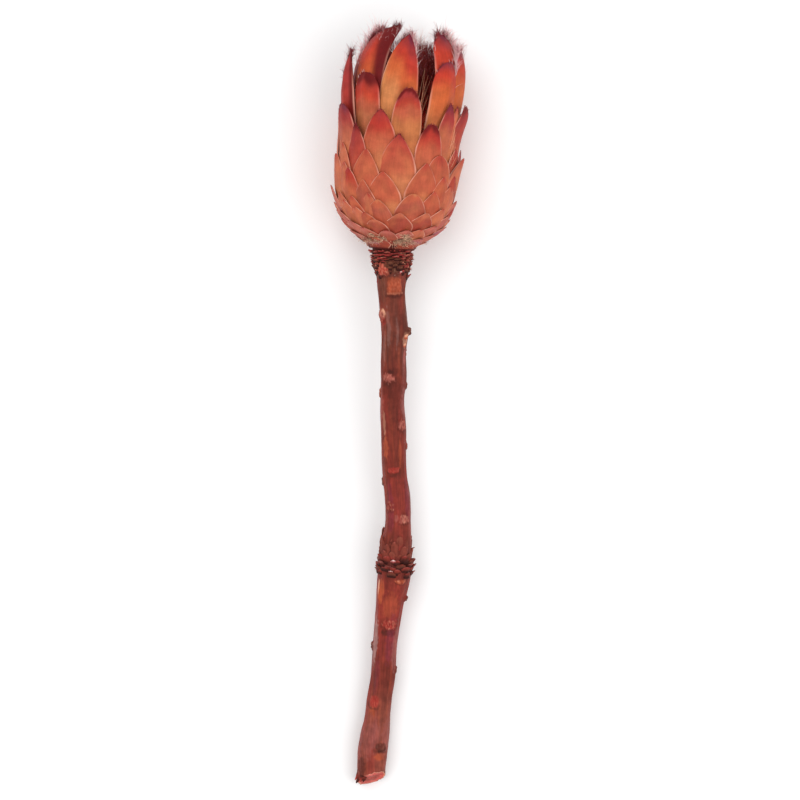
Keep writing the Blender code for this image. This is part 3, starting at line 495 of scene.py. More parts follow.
class ProteaColours(PropertyGroup):
    golden_tan: colour_property("Golden tan", "Foot of the long bracts", 220, 138, 84)
    tan_salmon: colour_property("Tan salmon", "Foot of the outer bracts", 204, 120, 80)
    salmon: colour_property("Salmon", "Middle of the paler bracts", 203, 108, 78)
    terracotta: colour_property("Terracotta", "Middle of most outer bracts", 194, 94, 66)
    brick: colour_property("Brick", "Upper part of many outer bracts", 184, 72, 56)
    red: colour_property("Red", "Upper part of the redder bracts", 182, 56, 44)
    rose: colour_property("Rose", "Tips", 166, 54, 52)
    purple: colour_property("Purple", "Darkest tips", 124, 44, 62)
    crimson: colour_property("Crimson", "Shaded tips", 112, 20, 22)
    sand: colour_property("Sand", "Foot of the palest bract", 196, 115, 69)
    orange: colour_property("Orange", "Middle of the long bracts", 208, 98, 52)
    scarlet: colour_property("Scarlet", "Upper part of the long bracts", 196, 60, 42)
    brown: colour_property("Brown", "Middle of the shorter bracts", 178, 88, 68)
    russet: colour_property("Russet", "Redder short bracts", 172, 76, 58)
    mauve: colour_property("Mauve", "Lowest bracts at the side", 172, 92, 104)
    pink: colour_property("Pink", "Lowest bracts", 198, 106, 92)
    # The rim colour is partly the pale dry margin of a bract and partly a painted highlight along its edges.
    rim: colour_property("Rim", "Pale dry rims", 238, 172, 150)
    # Core is painted shade: it darkens the body between the bracts, the shaded bracts, and the bracts near
    # the neck and at some edges; it also colours the dark wool hairs.
    core: colour_property("Core", "Between the bracts", 92, 28, 22)
    bark: colour_property("Bark", "The stem", 119, 46, 35)
    bark_dark: colour_property("Dark bark", "Furrows and scars", 84, 34, 26)
    bark_grey: colour_property("Grey bark", "Weathered upper bark", 104, 53, 40)
    bark_worn: colour_property("Worn bark", "Worn bark near the cut end", 141, 70, 55)
    bark_red: colour_property("Red bark", "Redder bark", 142, 50, 42)
    bark_orange: colour_property("Orange bark", "Where the bark is worn", 170, 76, 48)
    bark_pink: colour_property("Pink bark", "Leaf scars", 168, 86, 76)
    bark_scarlet: colour_property("Scarlet bark", "Fresh leaf scars", 164, 50, 42)
    bark_peach: colour_property("Peach bark", "Torn bark", 224, 160, 130)
    # Mauve bark is painted sheen on the flanks of the stem, and the colour of some patches and scales.
    bark_mauve: colour_property("Mauve bark", "Weathered flanks of the stem", 146, 80, 74)
    # Pale bark is painted sheen on the left flank, and thin pale streaks.
    bark_pale: colour_property("Pale bark", "Bleached bark", 172, 132, 126)
    bark_olive: colour_property("Olive bark", "Hollow in the collar", 108, 62, 45)
    bark_umber: colour_property("Umber bark", "Smooth scales above the node", 124, 56, 44)
    pit: colour_property("Pit", "Shade between the scales", 56, 20, 16)
    scale_red: colour_property("Red scale", "Scales of the collar", 164, 58, 52)
    scale_pink: colour_property("Pink scale", "Edges of the scales", 186, 88, 86)
    cut_wood: colour_property("Cut wood", "The cut end", 216, 98, 88)
    floret_red: colour_property("Red floret", "Foot of the florets", 240, 62, 42)
    floret_dark: colour_property("Dark floret", "Middle of the florets", 112, 22, 16)
    floret_brown: colour_property("Brown floret", "Tops of the florets", 140, 42, 32)
    fibre: colour_property("Fibre", "Pale loose fibres", 238, 178, 146)
    hair_pale: colour_property("Pale hair", "White and pink hairs at the tips", 252, 226, 220)
    hair_pink: colour_property("Pink hair", "Pink hairs at the tips", 222, 124, 140)
    hair_dark: colour_property("Dark hair", "Dark hairs at the tips", 110, 40, 50)
    wool: colour_property("Wool", "Wool between the lowest bracts", 246, 208, 172)
    floor: colour_property("Floor", "The floor", 250, 250, 250)


def colour_of(name):
    return Vector(getattr(bpy.context.scene.protea_colours, name))


def tinted(tone, name, share):
    """A colour with a share of a named one in it."""
    return tone.lerp(colour_of(name), share)


def eased(points, at):
    """The value at a place along (place, value) pairs, on a smooth line through them."""
    if at <= points[0][0]:
        return points[0][1]
    if at >= points[-1][0]:
        return points[-1][1]
    i = max(k for k in range(len(points) - 1) if points[k][0] <= at)
    (x0, y0), (x1, y1) = points[i], points[i + 1]

    def slope(k):
        low, high = points[max(k - 1, 0)], points[min(k + 1, len(points) - 1)]
        return (high[1] - low[1]) / (high[0] - low[0])

    span = x1 - x0
    t = (at - x0) / span
    start = (2 * t**3 - 3 * t**2 + 1) * y0 + (t**3 - 2 * t**2 + t) * span * slope(i)
    return start + (-2 * t**3 + 3 * t**2) * y1 + (t**3 - t**2) * span * slope(i + 1)


def smooth_step(low, high, value):
    share = min(max((value - low) / (high - low), 0.0), 1.0)
    return share * share * (3 - 2 * share)


def mixed(stops, at):
    """The colour at a place along (place, colour name) stops."""
    if at <= stops[0][0]:
        return colour_of(stops[0][1])
    for (low, under), (high, over) in zip(stops, stops[1:]):
        if at <= high:
            return tinted(colour_of(under), over, smooth_step(low, high, at))
    return colour_of(stops[-1][1])


def noise_at(x, y, z):
    """Smooth noise from about -1 to 1."""
    return noise.noise(Vector((x, y, z)))


def scattered(draw, x, y, z=0.0):
    """A random vector with a normal spread along each axis that is given one."""
    return Vector([draw.gauss(0, spread) if spread else 0.0 for spread in (x, y, z)])


def from_top(angle):
    """The angle from the top, from -180 to 180."""
    return (angle + 180) % 360 - 180


def bloom_matrix():
    """The bloom's own frame: Z runs up its axis, and -Y faces up from the floor."""
    lean, pitch = math.radians(LEAN_DEG), math.radians(PITCH_DEG)
    axis = Vector((math.sin(lean), math.cos(lean) * math.cos(pitch), math.sin(pitch))).normalized()
    face = (Vector((0, 0, 1)) - axis * axis.z).normalized()
    right = axis.cross(face)
    turned = Matrix((right, -face, axis)).transposed().to_4x4()
    return Matrix.Translation(NECK + ORIGIN_SHIFT) @ turned


def round_the_axis(angle_deg, radius, height):
    turn = math.radians(angle_deg)
    return Vector((radius * math.sin(turn), -radius * math.cos(turn), height)) * MM


def away_from_axis(place):
    return Vector((place.x, place.y, 0)).normalized()


def outer_radius(height):
    return eased(OUTER_SHAPE, height)


def core_radius(height):
    """Radius of the body that the outer bracts grow from."""
    return outer_radius(height) - eased(CORE_DEPTH, height)


def beside_receptacle(height):
    return eased(RECEPTACLE, height) + GAP


def blade_mesh():
    """A mesh in the making, with what the materials read: the place across and along a blade, how
    pale its rim is there, and its colour."""
    bm = bmesh.new()
    bm.verts.layers.float.new("across")
    bm.verts.layers.float.new("along")
    bm.verts.layers.float.new("rim")
    bm.verts.layers.float_color.new("tone")
    return bm


def join_meshes(bm, other):
    """Adds the other mesh in the making to the first one and frees it."""
    made = bpy.data.meshes.new("joined")
    other.to_mesh(made)
    other.free()
    bm.from_mesh(made)
    bpy.data.meshes.remove(made)


def finished_piece(bm, name, material, replaces=None):
    """The mesh as a piece that rides on the object, in place of a node of the frame if one is named.

    What would reach below the floor is pressed flat just above it.
    """
    for corner in bm.verts:
        if corner.co.z < FLOOR_EASING:
            corner.co.z = FLOOR_EASING * math.exp((corner.co.z - FLOOR_EASING) / FLOOR_EASING)
    mesh = bpy.data.meshes.new(name)
    bm.to_mesh(mesh)
    bm.free()
    mesh.shade_smooth()
    mesh.materials.append(material)
    piece = bpy.data.objects.new(name, mesh)
    bpy.context.scene.collection.objects.link(piece)
    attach(piece, "root")
    if replaces:
        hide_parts(replaces)
    return piece


def finished_bloom_piece(bm, name, material, replaces=None):
    """The same for a mesh made in the bloom's own frame."""
    bmesh.ops.recalc_face_normals(bm, faces=bm.faces)
    bmesh.ops.transform(bm, verts=bm.verts, matrix=bloom_matrix())
    return finished_piece(bm, name, material, replaces)


def add_turned_body(bm, outline, tone_name, sides=BODY_SIDES):
    """Adds the first body of a mesh, turned from an outline of (radius, height)."""
    tone = bm.verts.layers.float_color["tone"]
    corners = [bm.verts.new(Vector((radius, 0, height)) * MM) for radius, height in outline]
    edges = [bm.edges.new(pair) for pair in zip(corners, corners[1:])]
    for corner in corners:
        corner[tone] = (*colour_of(tone_name), 1.0)
    bmesh.ops.spin(
        bm, geom=corners + edges, cent=(0, 0, 0), axis=(0, 0, 1), dvec=(0, 0, 0),
        angle=math.tau, steps=sides, use_merge=True, use_duplicate=False,
    )
    bmesh.ops.remove_doubles(bm, verts=bm.verts, dist=0.01 * MM)


def close_blade(bm, corners, tip_width):
    """Gathers the tip of an open grid into one corner, gives the grid a back, and returns the
    back's corners. The tip's row is no wider than that."""
    along = bm.verts.layers.float["along"]
    tip = [corner for corner in corners if corner[along] > 0.9999]
    bmesh.ops.remove_doubles(bm, verts=tip, dist=tip_width)
    faces = list({face for corner in corners if corner.is_valid for face in corner.link_faces})
    backs = bmesh.ops.extrude_face_region(bm, geom=faces)["geom"]
    return [corner for corner in backs if isinstance(corner, bmesh.types.BMVert)]


class Blade(NamedTuple):
    """One bract: where it stands, its outline, its bend and its colours."""

    angle: float
    root: float
    tip: float
    width: float
    sideways: float
    radius_at: Callable
    root_share: float
    widest: float
    fullness: float
    bluntness: float
    slant: float
    roll: float
    twist: float
    rim: float
    dress: str
    seed: float


def blade_share(blade, along):
    """Share of a blade's full width at a place from 0, its root, to 1, its tip."""
    if along < blade.widest:
        return blade.root_share + (1 - blade.root_share) * math.sin(along / blade.widest * math.pi / 2)
    fall = (along - blade.widest) / (1 - blade.widest)
    return max(1 - fall**blade.fullness, 0.0) ** blade.bluntness


def blade_height(blade, along):
    return blade.root + (blade.tip - blade.root) * along


def blade_point(blade, side, along):
    """A point of a blade's outer face, in the bloom's frame; its side runs from -1 to 1."""
    share = blade_share(blade, along)
    height = blade_height(blade, along) + blade.slant * side * share * along**6
    radius = blade.radius_at(height, along)
    edge = 1 + EDGE_WAVE * noise_at(blade.seed, along * 9, side * 2)
    edge += EDGE_NICKS * noise_at(blade.seed, along * 28, side * 2)
    across = side * blade.width / 2 * share * edge + blade.sideways * along**3
    turn = math.degrees(across / max(radius, LEAST_RADIUS))
    drop = (blade.roll * side * side - blade.twist * side) * share
    keel = bpy.context.scene.protea_sizes.keel_height / MM * math.exp(-((side / KEEL_SPREAD) ** 2))
    keel *= share * smooth_step(0.2, 0.6, along)
    ripple = RIPPLE * noise_at(blade.seed * 3, side * 1.6, along * 2.4) * min(share * 4, 1)
    furrow = FURROW * math.cos(side * FURROW_TURNS + blade.seed) * share
    return round_the_axis(blade.angle + turn, radius - drop + keel + ripple + furrow, height)


def blade_tone(blade, side, along):
    """The colour of a blade at a place, with slow changes over it, and painted light and shade on some sides
    and near the neck.
    """
    drift = 0.09 * noise_at(blade.seed * 5, side * 1.3, along * 3)
    # Painted light: amber bracts are paler on their left and redder on their right, as if lit from the left.
    if blade.dress == "amber":
        drift += 0.05 * side
    if blade.dress == "golden":
        drift += 0.16 * side * side * smooth_step(0.7, 0.9, along)
    tone = mixed(DRESSES[blade.dress], along + drift)
    blush = noise_at(blade.seed * 7, side * 1.7, along * 4)
    gold = max(-blush, 0) * 0.3 * (1 - smooth_step(0.7, 0.95, along))
    tone = tinted(tinted(tone, "rose", max(blush, 0) * 0.35), "golden_tan", gold)
    # Painted shade down the right side of this bract.
    if blade.dress == "crimson_sided":
        tone = tinted(tone, "crimson", 0.85 * smooth_step(0.45, 0.8, side))
    # Painted shadow of the crevice along the left edge.
    if blade.dress == "dark_left":
        tone = tinted(tone, "core", 0.9 * smooth_step(0.78, 0.96, -side))
    if blade.dress == "half_shaded":
        right_half = smooth_step(0.1, 0.5, side + 1.1 * (along - 0.84))
        shade = max(right_half, smooth_step(0.96, 1.0, along))
        tone = tinted(tone, "crimson", shade * smooth_step(0.55, 0.7, along))
    # Painted shade: near the neck the bracts darken towards core.
    return tinted(tone, "core", 0.7 * (1 - smooth_step(1.0, 4.0, blade_height(blade, along))))


def add_blade(bm, blade, cells):
    """Adds one closed blade, thick along its middle and thin at its rim."""
    sizes = bpy.context.scene.protea_sizes
    across, along, rim = (bm.verts.layers.float[name] for name in ("across", "along", "rim"))
    tone = bm.verts.layers.float_color["tone"]
    corners = bmesh.ops.create_grid(bm, x_segments=cells[0], y_segments=cells[1], size=1.0)["verts"]
    for corner in corners:
        side = corner.co.x * (1.3 - 0.3 * corner.co.x**2)
        place = 1 - (1 - (corner.co.y + 1) / 2) ** 1.5
        corner[across] = side
        corner[along] = place
        # The pale rim is partly a dry margin and partly a painted highlight; it is patchy, and the taller
        # bracts lose it at their tips.
        patchy = 0.75 + 0.9 * noise_at(blade.seed * 2, side * 2.5, place * 7)
        dark_tip = 1 - smooth_step(*DARK_TIPS_FROM, blade.tip) * smooth_step(0.8, 0.92, place)
        corner[rim] = min(max(patchy * blade.rim * dark_tip, 0.0), 1.0)
        corner[tone] = (*blade_tone(blade, side, place), 1.0)
        corner.co = blade_point(blade, side, place)
    inner = sizes.bract_thickness - sizes.rim_thickness
    for corner in close_blade(bm, corners, 0.1 * MM):
        thick = sizes.rim_thickness + inner * (1 - corner[across] ** 4) * (1 - corner[along] ** 8)
        corner.co -= away_from_axis(corner.co) * thick


def outer_places():
    """Where every outer bract stands, with its form and its cells across and along."""
    draw = random.Random(SEED)
    places = [(*one, OUTER_FORM, UPPER_CELLS) for one in (*OUTER_BRACTS, *FILLING_BRACTS)]
    for angle, tip, width, flare, *shape in OUTER_BRACTS:
        turned = angle + 180 + draw.uniform(-3, 3)
        lower_tip = tip + draw.uniform(-1.2, 1.2)
        beside = abs(from_top(turned)) < BESIDE_DEG
        flare_there = BESIDE_FLARE if beside else flare * LOWER_FLARE
        lower_tip -= BESIDE_SHORTER * beside
        places.append((turned, lower_tip, width, flare_there, *shape, OUTER_FORM, LOWER_CELLS))
    places += [(*one, BASE_FORM, BASE_CELLS) for one in FRONT_BASE_BRACTS]
    for tip, count, width, turned in BASE_RINGS:
        for k in range(count):
            angle = 360 * (k + draw.uniform(-0.2, 0.2)) / count + turned
            grown = tip + draw.uniform(-1.1, 1.1)
            flare, sideways = draw.uniform(0.0, 0.3), draw.uniform(-0.6, 0.6)
            dress = draw.choice(BASE_DRESSES)
            if abs(from_top(angle)) > RINGS_FROM_DEG:
                shape = (sideways, 1.8, 0.7, dress)
                places.append((angle, grown, width, flare, *shape, BASE_FORM, BASE_CELLS))
    return places


def outer_blades():
    """Every outer bract: those of the upper side, nearly the same again on the lower side, and the
    shorter ones near the neck."""
    blades = []
    for k, place in enumerate(outer_places()):
        angle, tip, width, flare, sideways, fullness, bluntness, dress, form, cells = place
        longer = 1 + 0.25 * smooth_step(16, 26, tip)
        root = max(tip - eased(BRACT_LENGTH, tip) * longer, CUP_FOOT + 0.6)
        sunk = eased(CORE_DEPTH, root) + 0.6

        def radius_at(height, along, flare=flare, sunk=sunk):
            bulge = along**4 - (0.9 * along**14 if flare > BULGING else 0.0)
            face = max(outer_radius(height) - sunk * (1 - along), beside_receptacle(height) + 1.9)
            return face + flare * bulge

        root_share, widest, roll, twist, rim = form
        blade = Blade(
            angle, root, tip, width, sideways, radius_at, root_share, widest, fullness, bluntness,
            0.0, roll, twist, rim, dress, k * 1.37,
        )
        blades.append((blade, cells))
    return blades


def long_blades():
    """Every long inner bract."""
    blades = []
    root_share, twist, rim = LONG_FORM
    for k, long_bract in enumerate(LONG_BRACTS):
        angle, tip, width, inset, turned_in, sideways, widest, roll, *shape = long_bract[:12]
        fullness, bluntness, slant, dress = shape

        def radius_at(height, along, inset=inset, turned_in=turned_in):
            return eased(INNER_SHAPE, height) - inset * min(along * 4, 1) - turned_in * along**6

        blade = Blade(
            angle, LONG_ROOT, tip, width, sideways, radius_at, root_share, widest, fullness, bluntness,
            slant, roll, twist, rim, dress, 60 + k * 2.11,
        )
        blades.append(blade)
    return blades


def make_outer_bracts():
    bm = blade_mesh()
    body = [(eased(CUP_INSIDE, CUP_RIM) + 0.5, CUP_RIM)]
    body += [(core_radius(height) - 0.9, height) for height in (40, 30, 22, 16, 12, 9, 6, 4)]
    body += [(CUP_FOOT_RADIUS, CUP_FOOT)]
    body += [(beside_receptacle(height), height) for height in (CUP_FOOT, 6, 10, CUP_FLOOR)]
    body += [(eased(CUP_INSIDE, height), height) for height in (CUP_FLOOR, 16, 22, 30, CUP_RIM)]
    # The body that shows between the bracts is coloured core, a painted shade.
    add_turned_body(bm, body + body[:1], "core")
    for blade, cells in outer_blades():
        add_blade(bm, blade, cells)
    material = dry_blade_material("dry_bract", 0.62, 16.0)
    return finished_bloom_piece(bm, "outer_bracts_dry", material, "outer_bracts")


def make_inner_bracts():
    bm = blade_mesh()
    body = [(21.3, RING_TOP), (19.4, 16), (16.7, 12.6)]
    body += [(beside_receptacle(height), height) for height in (12.6, 14, 18, RING_TOP)]
    # The body that shows between the bracts is coloured core, a painted shade.
    add_turned_body(bm, body + body[:1], "core")
    for blade in long_blades():
        add_blade(bm, blade, LONG_CELLS)
    material = dry_blade_material("dry_long_bract", 0.55, 18.0)
    return finished_bloom_piece(bm, "inner_bracts_dry", material, "inner_bracts")


class Hair(NamedTuple):
    """One hair: its root, the way it grows, the way it bends over, its size and its colours."""

    root: Vector
    way: Vector
    bend: Vector
    length: float
    thick: float
    foot_tone: Vector
    tip_tone: Vector


def strand(foot, head, bend, thick, foot_tone, tip_tone):
    """A hair from one place to another."""
    way = head - foot
    return Hair(foot, way.normalized(), bend, way.length, thick, foot_tone, tip_tone)


def hair_shape():
    """A tapering hair one unit long and thick, which every hair is a copy of."""
    bm = blade_mesh()
    bmesh.ops.create_cone(bm, cap_ends=True, segments=3, radius1=1.0, radius2=0.2, depth=1.0)
    bmesh.ops.translate(bm, verts=bm.verts, vec=(0, 0, 0.5))
    long_edges = [edge for edge in bm.edges if abs(edge.verts[0].co.z - edge.verts[1].co.z) > 0.5]
    bmesh.ops.subdivide_edges(bm, edges=long_edges, cuts=2)
    shape = bpy.data.meshes.new("hair_shape")
    bm.to_mesh(shape)
    bm.free()
    return shape


def add_hairs(bm, hairs):
    """Adds a tuft of hairs, bent as each one says."""
    shape = hair_shape()
    tuft = blade_mesh()
    tone = tuft.verts.layers.float_color["tone"]
    for hair in hairs:
        start = len(tuft.verts)
        tuft.from_mesh(shape)
        tuft.verts.ensure_lookup_table()
        first = hair.way.orthogonal().normalized()
        second = hair.way.cross(first).normalized()
        for corner in tuft.verts[start:]:
            x, y, t = corner.co
            line = hair.root + hair.way * (hair.length * t) + hair.bend * (hair.length * t * t)
            corner[tone] = (*hair.foot_tone.lerp(hair.tip_tone, t), 1.0)
            corner.co = line + (first * x + second * y) * hair.thick
    bpy.data.meshes.remove(shape)
    join_meshes(bm, tuft)


def floret_styles(draw):
    """Stiff styles, one to a floret, set like seeds and spreading upward."""
    red, dark, brown = (colour_of(name) for name in ("floret_red", "floret_dark", "floret_brown"))
    count = bpy.context.scene.protea_sizes.floret_count
    styles = []
    for k in range(count):
        angle = k * GOLDEN_ANGLE_DEG
        share = math.sqrt((k + 0.5) / count)
        foot = round_the_axis(angle, 10.5 * share, 50 - 12 * share)
        height = draw.uniform(74, 90) - 3 * share
        leaning = angle + draw.uniform(-14, 14)
        head = round_the_axis(leaning, 13.2 * share + draw.uniform(-0.6, 0.6), height)
        bend = Vector((draw.uniform(-1, 1), draw.uniform(-1, 1), 0)) * 0.05
        tip_tone = dark.lerp(brown, draw.random())
        styles.append(strand(foot, head, bend, draw.uniform(0.34, 0.6) * MM, red, tip_tone))
    return styles


def floret_fibres(draw):
    """Loose fibres that lean between the long bracts, the first of them where the gap shows them."""
    fibres = []
    for k in range(FIBRES):
        in_gap = k < FIBRES_IN_GAP
        if in_gap:
            angle = draw.uniform(17, 24)
        else:
            angle = draw.choice(FIBRE_ANGLES) + draw.uniform(-6, 6)
        height = draw.uniform(46, 60)
        foot = round_the_axis(angle, draw.uniform(19.0, 21.5), height)
        turned = draw.uniform(2, 13) if in_gap else draw.uniform(-9, 9)
        head = round_the_axis(angle + turned, draw.uniform(20.0, 22.8), height + draw.uniform(12, 22))
        bend = Vector((draw.uniform(-1, 1), draw.uniform(-1, 1), 0)) * 0.08
        tone = tinted(colour_of("fibre"), "orange", draw.uniform(0, 0.8))
        fibres.append(strand(foot, head, bend, draw.uniform(0.1, 0.2) * MM, tone, tone))
    return fibres


def floret_fuzz(draw):
    """Fine dark hairs over the tops of the florets, more of them where the gap shows them, and a few
    pale ones."""
    thick = bpy.context.scene.protea_sizes.hair_thickness
    fuzz = []
    for k in range(FUZZ_HAIRS):
        angle = draw.uniform(0, 360) if k < FUZZ_ALL_ROUND else draw.gauss(30, 22)
        share = math.sqrt(draw.random())
        height = draw.uniform(78, 91) - 3 * share
        foot = round_the_axis(angle, 17.5 * share, height)
        way = (scattered(draw, 0.5, 0.5) + UPWARD).normalized()
        bend = scattered(draw, 0.3, 0.3)
        tone = tinted(colour_of("floret_brown"), "hair_pink", draw.random() ** 8)
        tone = tinted(tone, "floret_dark", draw.random() * 0.4)
        fuzz.append(Hair(foot, way, bend, draw.uniform(2, 5) * MM, thick / 2, tone, tone))
    pale = colour_of("hair_pale")
    for _ in range(PALE_FUZZ_HAIRS):
        foot = round_the_axis(draw.gauss(10, 30), draw.uniform(6, 17), draw.uniform(86, 92))
        way = (scattered(draw, 0.35, 0.35) + UPWARD).normalized()
        bend = scattered(draw, 0.4, 0.4)
        fuzz.append(Hair(foot, way, bend, draw.uniform(4, 8) * MM, thick * 0.35, pale, pale))
    return fuzz


def make_florets():
    """The dark heap of florets inside the bracts, with their styles, loose fibres and fuzz."""
    bm = blade_mesh()
    outline = [(0.0, FLORET_TOP)] + [(radius, height) for height, radius in reversed(FLORET_SHAPE)]
    add_turned_body(bm, outline + [(0.0, FLORET_SHAPE[0][0])], "floret_red", FLORET_BODY_SIDES)
    draw = random.Random(SEED + 1)
    add_hairs(bm, floret_styles(draw) + floret_fibres(draw))
    add_hairs(bm, floret_fuzz(draw))
    material = hair_material("floret_fibre")
    return finished_bloom_piece(bm, "florets_dry", material, "florets")


def long_fringe(draw, blade, pale, dark, reach):
    """Hairs round the tip of a long bract; the pale ones stand mostly on the side that shows them."""
    thick = bpy.context.scene.protea_sizes.hair_thickness / 2
    fringed_side = 1 if FRINGED_RIGHT_DEG[0] < blade.angle < FRINGED_RIGHT_DEG[1] else -1
    hairs = []
    for k in range(pale + dark):
        is_pale = k < pale
        side = fringed_side if is_pale and draw.random() < 0.9 else draw.choice((-1, 1))
        side *= draw.uniform(0.9, 1.0)
        along = 1 - abs(draw.gauss(0, 0.07 if is_pale else 0.025))
        root = blade_point(blade, side, min(along, 0.998))
        before_tip = min(along, 0.99)
        ahead = blade_point(blade, side, before_tip + 0.01) - blade_point(blade, side, before_tip)
        away = (root - blade_point(blade, 0, min(along, 0.998))).normalized()
        spread = scattered(draw, 1, 1, 1)
        way = ahead.normalized() * 0.5 + UPWARD * 0.8 + away * 0.5
        way = (way + away_from_axis(root) * 0.15 + spread * 0.4).normalized()
        bend = scattered(draw, 0.3, 0.3, 0.3)
        if is_pale:
            tone = tinted(colour_of("hair_pale"), "hair_pink", draw.random() ** 1.5)
        else:
            tone = tinted(colour_of("hair_dark"), "rose", draw.random() ** 2)
        length = reach * draw.uniform(0.6, 1.6) * (1.0 if is_pale else 0.75) * MM
        hairs.append(Hair(root, way, bend, length, thick, tone, tone))
    return hairs


def short_fringe(draw, blade):
    """Short dark hairs round the tip of an outer bract."""
    thick = bpy.context.scene.protea_sizes.hair_thickness / 2
    hairs = []
    for _ in range(SHORT_FRINGE_HAIRS):
        side = draw.choice((-1, 1)) * draw.uniform(0.85, 1.0)
        along = 1 - abs(draw.gauss(0, 0.035))
        root = blade_point(blade, side, min(along, 0.998))
        spread = scattered(draw, 1, 1, 1)
        way = (UPWARD + spread * 0.35).normalized()
        tone = tinted(colour_of("hair_dark"), "rose", draw.random())
        length = draw.uniform(0.4, 1.1) * MM
        hairs.append(Hair(root, way, spread * 0.1, length, thick, tone, tone))
    return hairs


def side_fibres(draw):
    """A few long fibres that lie over the outer bracts at the right."""
    fibres = []
    for _ in range(SIDE_FIBRES):
        angle, height = draw.uniform(50, 57), draw.uniform(38, 48)
        foot = round_the_axis(angle, outer_radius(height) + draw.uniform(0.4, 0.9), height)
        height += draw.uniform(5, 12)
        turned = angle + draw.uniform(3, 7)
        head = round_the_axis(turned, outer_radius(height) + draw.uniform(0.5, 1.2), height)
        bend = scattered(draw, 1, 1) * 0.04
        tone = tinted(colour_of("fibre"), "orange", draw.uniform(0, 0.5))
        fibres.append(strand(foot, head, bend, 0.1 * MM, tone, tone))
    return fibres


def make_tip_hairs():
    """Fringes of hair round the tips of the bracts: pale and dark ones on the long bracts, and
    short dark ones on the upper outer bracts."""
    bm = blade_mesh()
    draw = random.Random(SEED + 3)
    for blade, long_bract in zip(long_blades(), LONG_BRACTS):
        add_hairs(bm, long_fringe(draw, blade, *long_bract[12:]))
    for blade, _ in outer_blades():
        if blade.tip >= SHORT_FRINGE_FROM:
            add_hairs(bm, short_fringe(draw, blade))
    add_hairs(bm, side_fibres(draw))
    return finished_bloom_piece(bm, "tip_hairs", hair_material("tip_hair"))


def wool_clump(draw, angle, height, count):
    """Short curled hairs, cream and dark ones, in a clump on the lowest bracts."""
    clump = round_the_axis(angle, outer_radius(height) + 0.1, height)
    hairs = []
    for _ in range(count):
        root = clump + scattered(draw, 0.9, 0.5, 0.7) * MM
        out = away_from_axis(root)
        spread = scattered(draw, 1, 1, 1)
        way = (UPWARD * 0.5 + spread * 0.6).normalized()
        way = (way - out * max(way.dot(out) - 0.25, 0)).normalized()
        dark = draw.random() < 0.42
        share = draw.random() * 0.3 + 0.62 * dark
        tone = tinted(colour_of("wool"), "core" if dark else "floret_brown", share)
        length = draw.uniform(0.5, 1.6) * MM
        hairs.append(Hair(root - out * 0.3 * MM, way, spread * 0.3, length, 0.08 * MM, tone, tone))
    return hairs


def make_base_wool():
    """Cream wool that shows between the lowest bracts and over the neck."""
    bm = blade_mesh()
    draw = random.Random(SEED + 4)
    clumps = list(WOOL_CLUMPS)
    for _ in range(LOWER_WOOL_CLUMPS):
        clumps.append((draw.uniform(114, 246), draw.uniform(3.0, 9.0), LOWER_WOOL_HAIRS))
    for angle, height, count in clumps:
        add_hairs(bm, wool_clump(draw, angle, height, count))
    return finished_bloom_piece(bm, "base_wool", hair_material("wool"))


def stem_at(place):
    """The middle of the stem at a place along its line, and its radius in millimetres."""
    columns = [[(k, point[c]) for k, point in enumerate(STEM_LINE)] for c in range(4)]
    x, y, z, radius = (eased(column, place) for column in columns)
    return Vector((x, y, z)) * MM, radius


def stem_place(y):
    """The place along the stem's line that has this y."""
    low, high = 0.0, float(len(STEM_LINE) - 1)
    for _ in range(24):
        middle = (low + high) / 2
        if stem_at(middle)[0].y > y * MM:
            low = middle
        else:
            high = middle
    return (low + high) / 2


def stem_ring(y):
    """The stem's centre and radius at a y, with the ways that face up and that run along it."""
    place = stem_place(y)
    centre, radius = stem_at(place)
    up = (stem_at(max(place - 0.2, 0))[0] - stem_at(place + 0.2)[0]).normalized()
    face = (UPWARD - up * up.z).normalized()
    return centre, radius, face, up


def out_of_stem(face, up, angle_deg):
    turn = math.radians(angle_deg)
    return face * math.cos(turn) + up.cross(face) * math.sin(turn)


def bark_noise(angle, fineness, *shift):
    """Smooth noise round the stem; a larger fineness gives smaller marks."""
    turn = math.radians(angle)
    ring = Vector((math.cos(turn), math.sin(turn), 0))
    return noise.noise(ring * fineness + Vector(shift))


def spot_distance(y, angle, radius, spot_y, spot_angle, length, width, squareness):
    """How far a point of the bark is from the middle of a spot: 1 on its edge."""
    lengthwise = abs(y - spot_y) / (length / 2)
    crosswise = abs(math.radians(from_top(angle - spot_angle))) * radius / (width / 2)
    return (lengthwise**squareness + crosswise**squareness) ** (1 / squareness)


def scars_near(y, angle, radius):
    """The scars near a place of the bark, each with its distance from there: 1 on the scar's ragged
    edge. Square scars have cleaner edges."""
    edge = bark_noise(angle, 9, 0, 0, y * 0.7)
    for scar in LEAF_SCARS:
        scar_y, scar_angle, length, width, _, squareness, _ = scar
        if abs(y - scar_y) < length:
            away = spot_distance(y, angle, radius, scar_y, scar_angle, length, width, squareness)
            yield scar, away + edge * (0.18 if squareness > SQUARE_FROM else 0.6)


def bark_height(y, angle, radius, spot):
    """How far the bark stands out at a place, in millimetres."""
    depth = bpy.context.scene.protea_sizes.bark_relief / MM
    height = 0.5 * noise_at(spot.x * 0.35, spot.y * 0.06, spot.z * 0.35)
    height += depth * bark_noise(angle, 2.4, 0, 0, y * 0.05)
    height += depth * (0.25 + 0.4 * smooth_step(0, 40, y)) * bark_noise(angle, 7, 3, 0, y * 0.09)
    height += depth * 0.22 * bark_noise(angle, 15, 7, 0, y * 0.22)
    for scar, away in scars_near(y, angle, radius):
        raised = scar[4]
        if away < 1.6:
            height += raised * (1 - smooth_step(0.55, 1.15, away))
            height -= 0.18 * raised * math.exp(-((away / 0.4) ** 2))
            inside = 1 - smooth_step(0.8, 1.1, away)
            height += 0.1 * bark_noise(angle, 22, 0, 2, y * 1.3) * inside
    return height


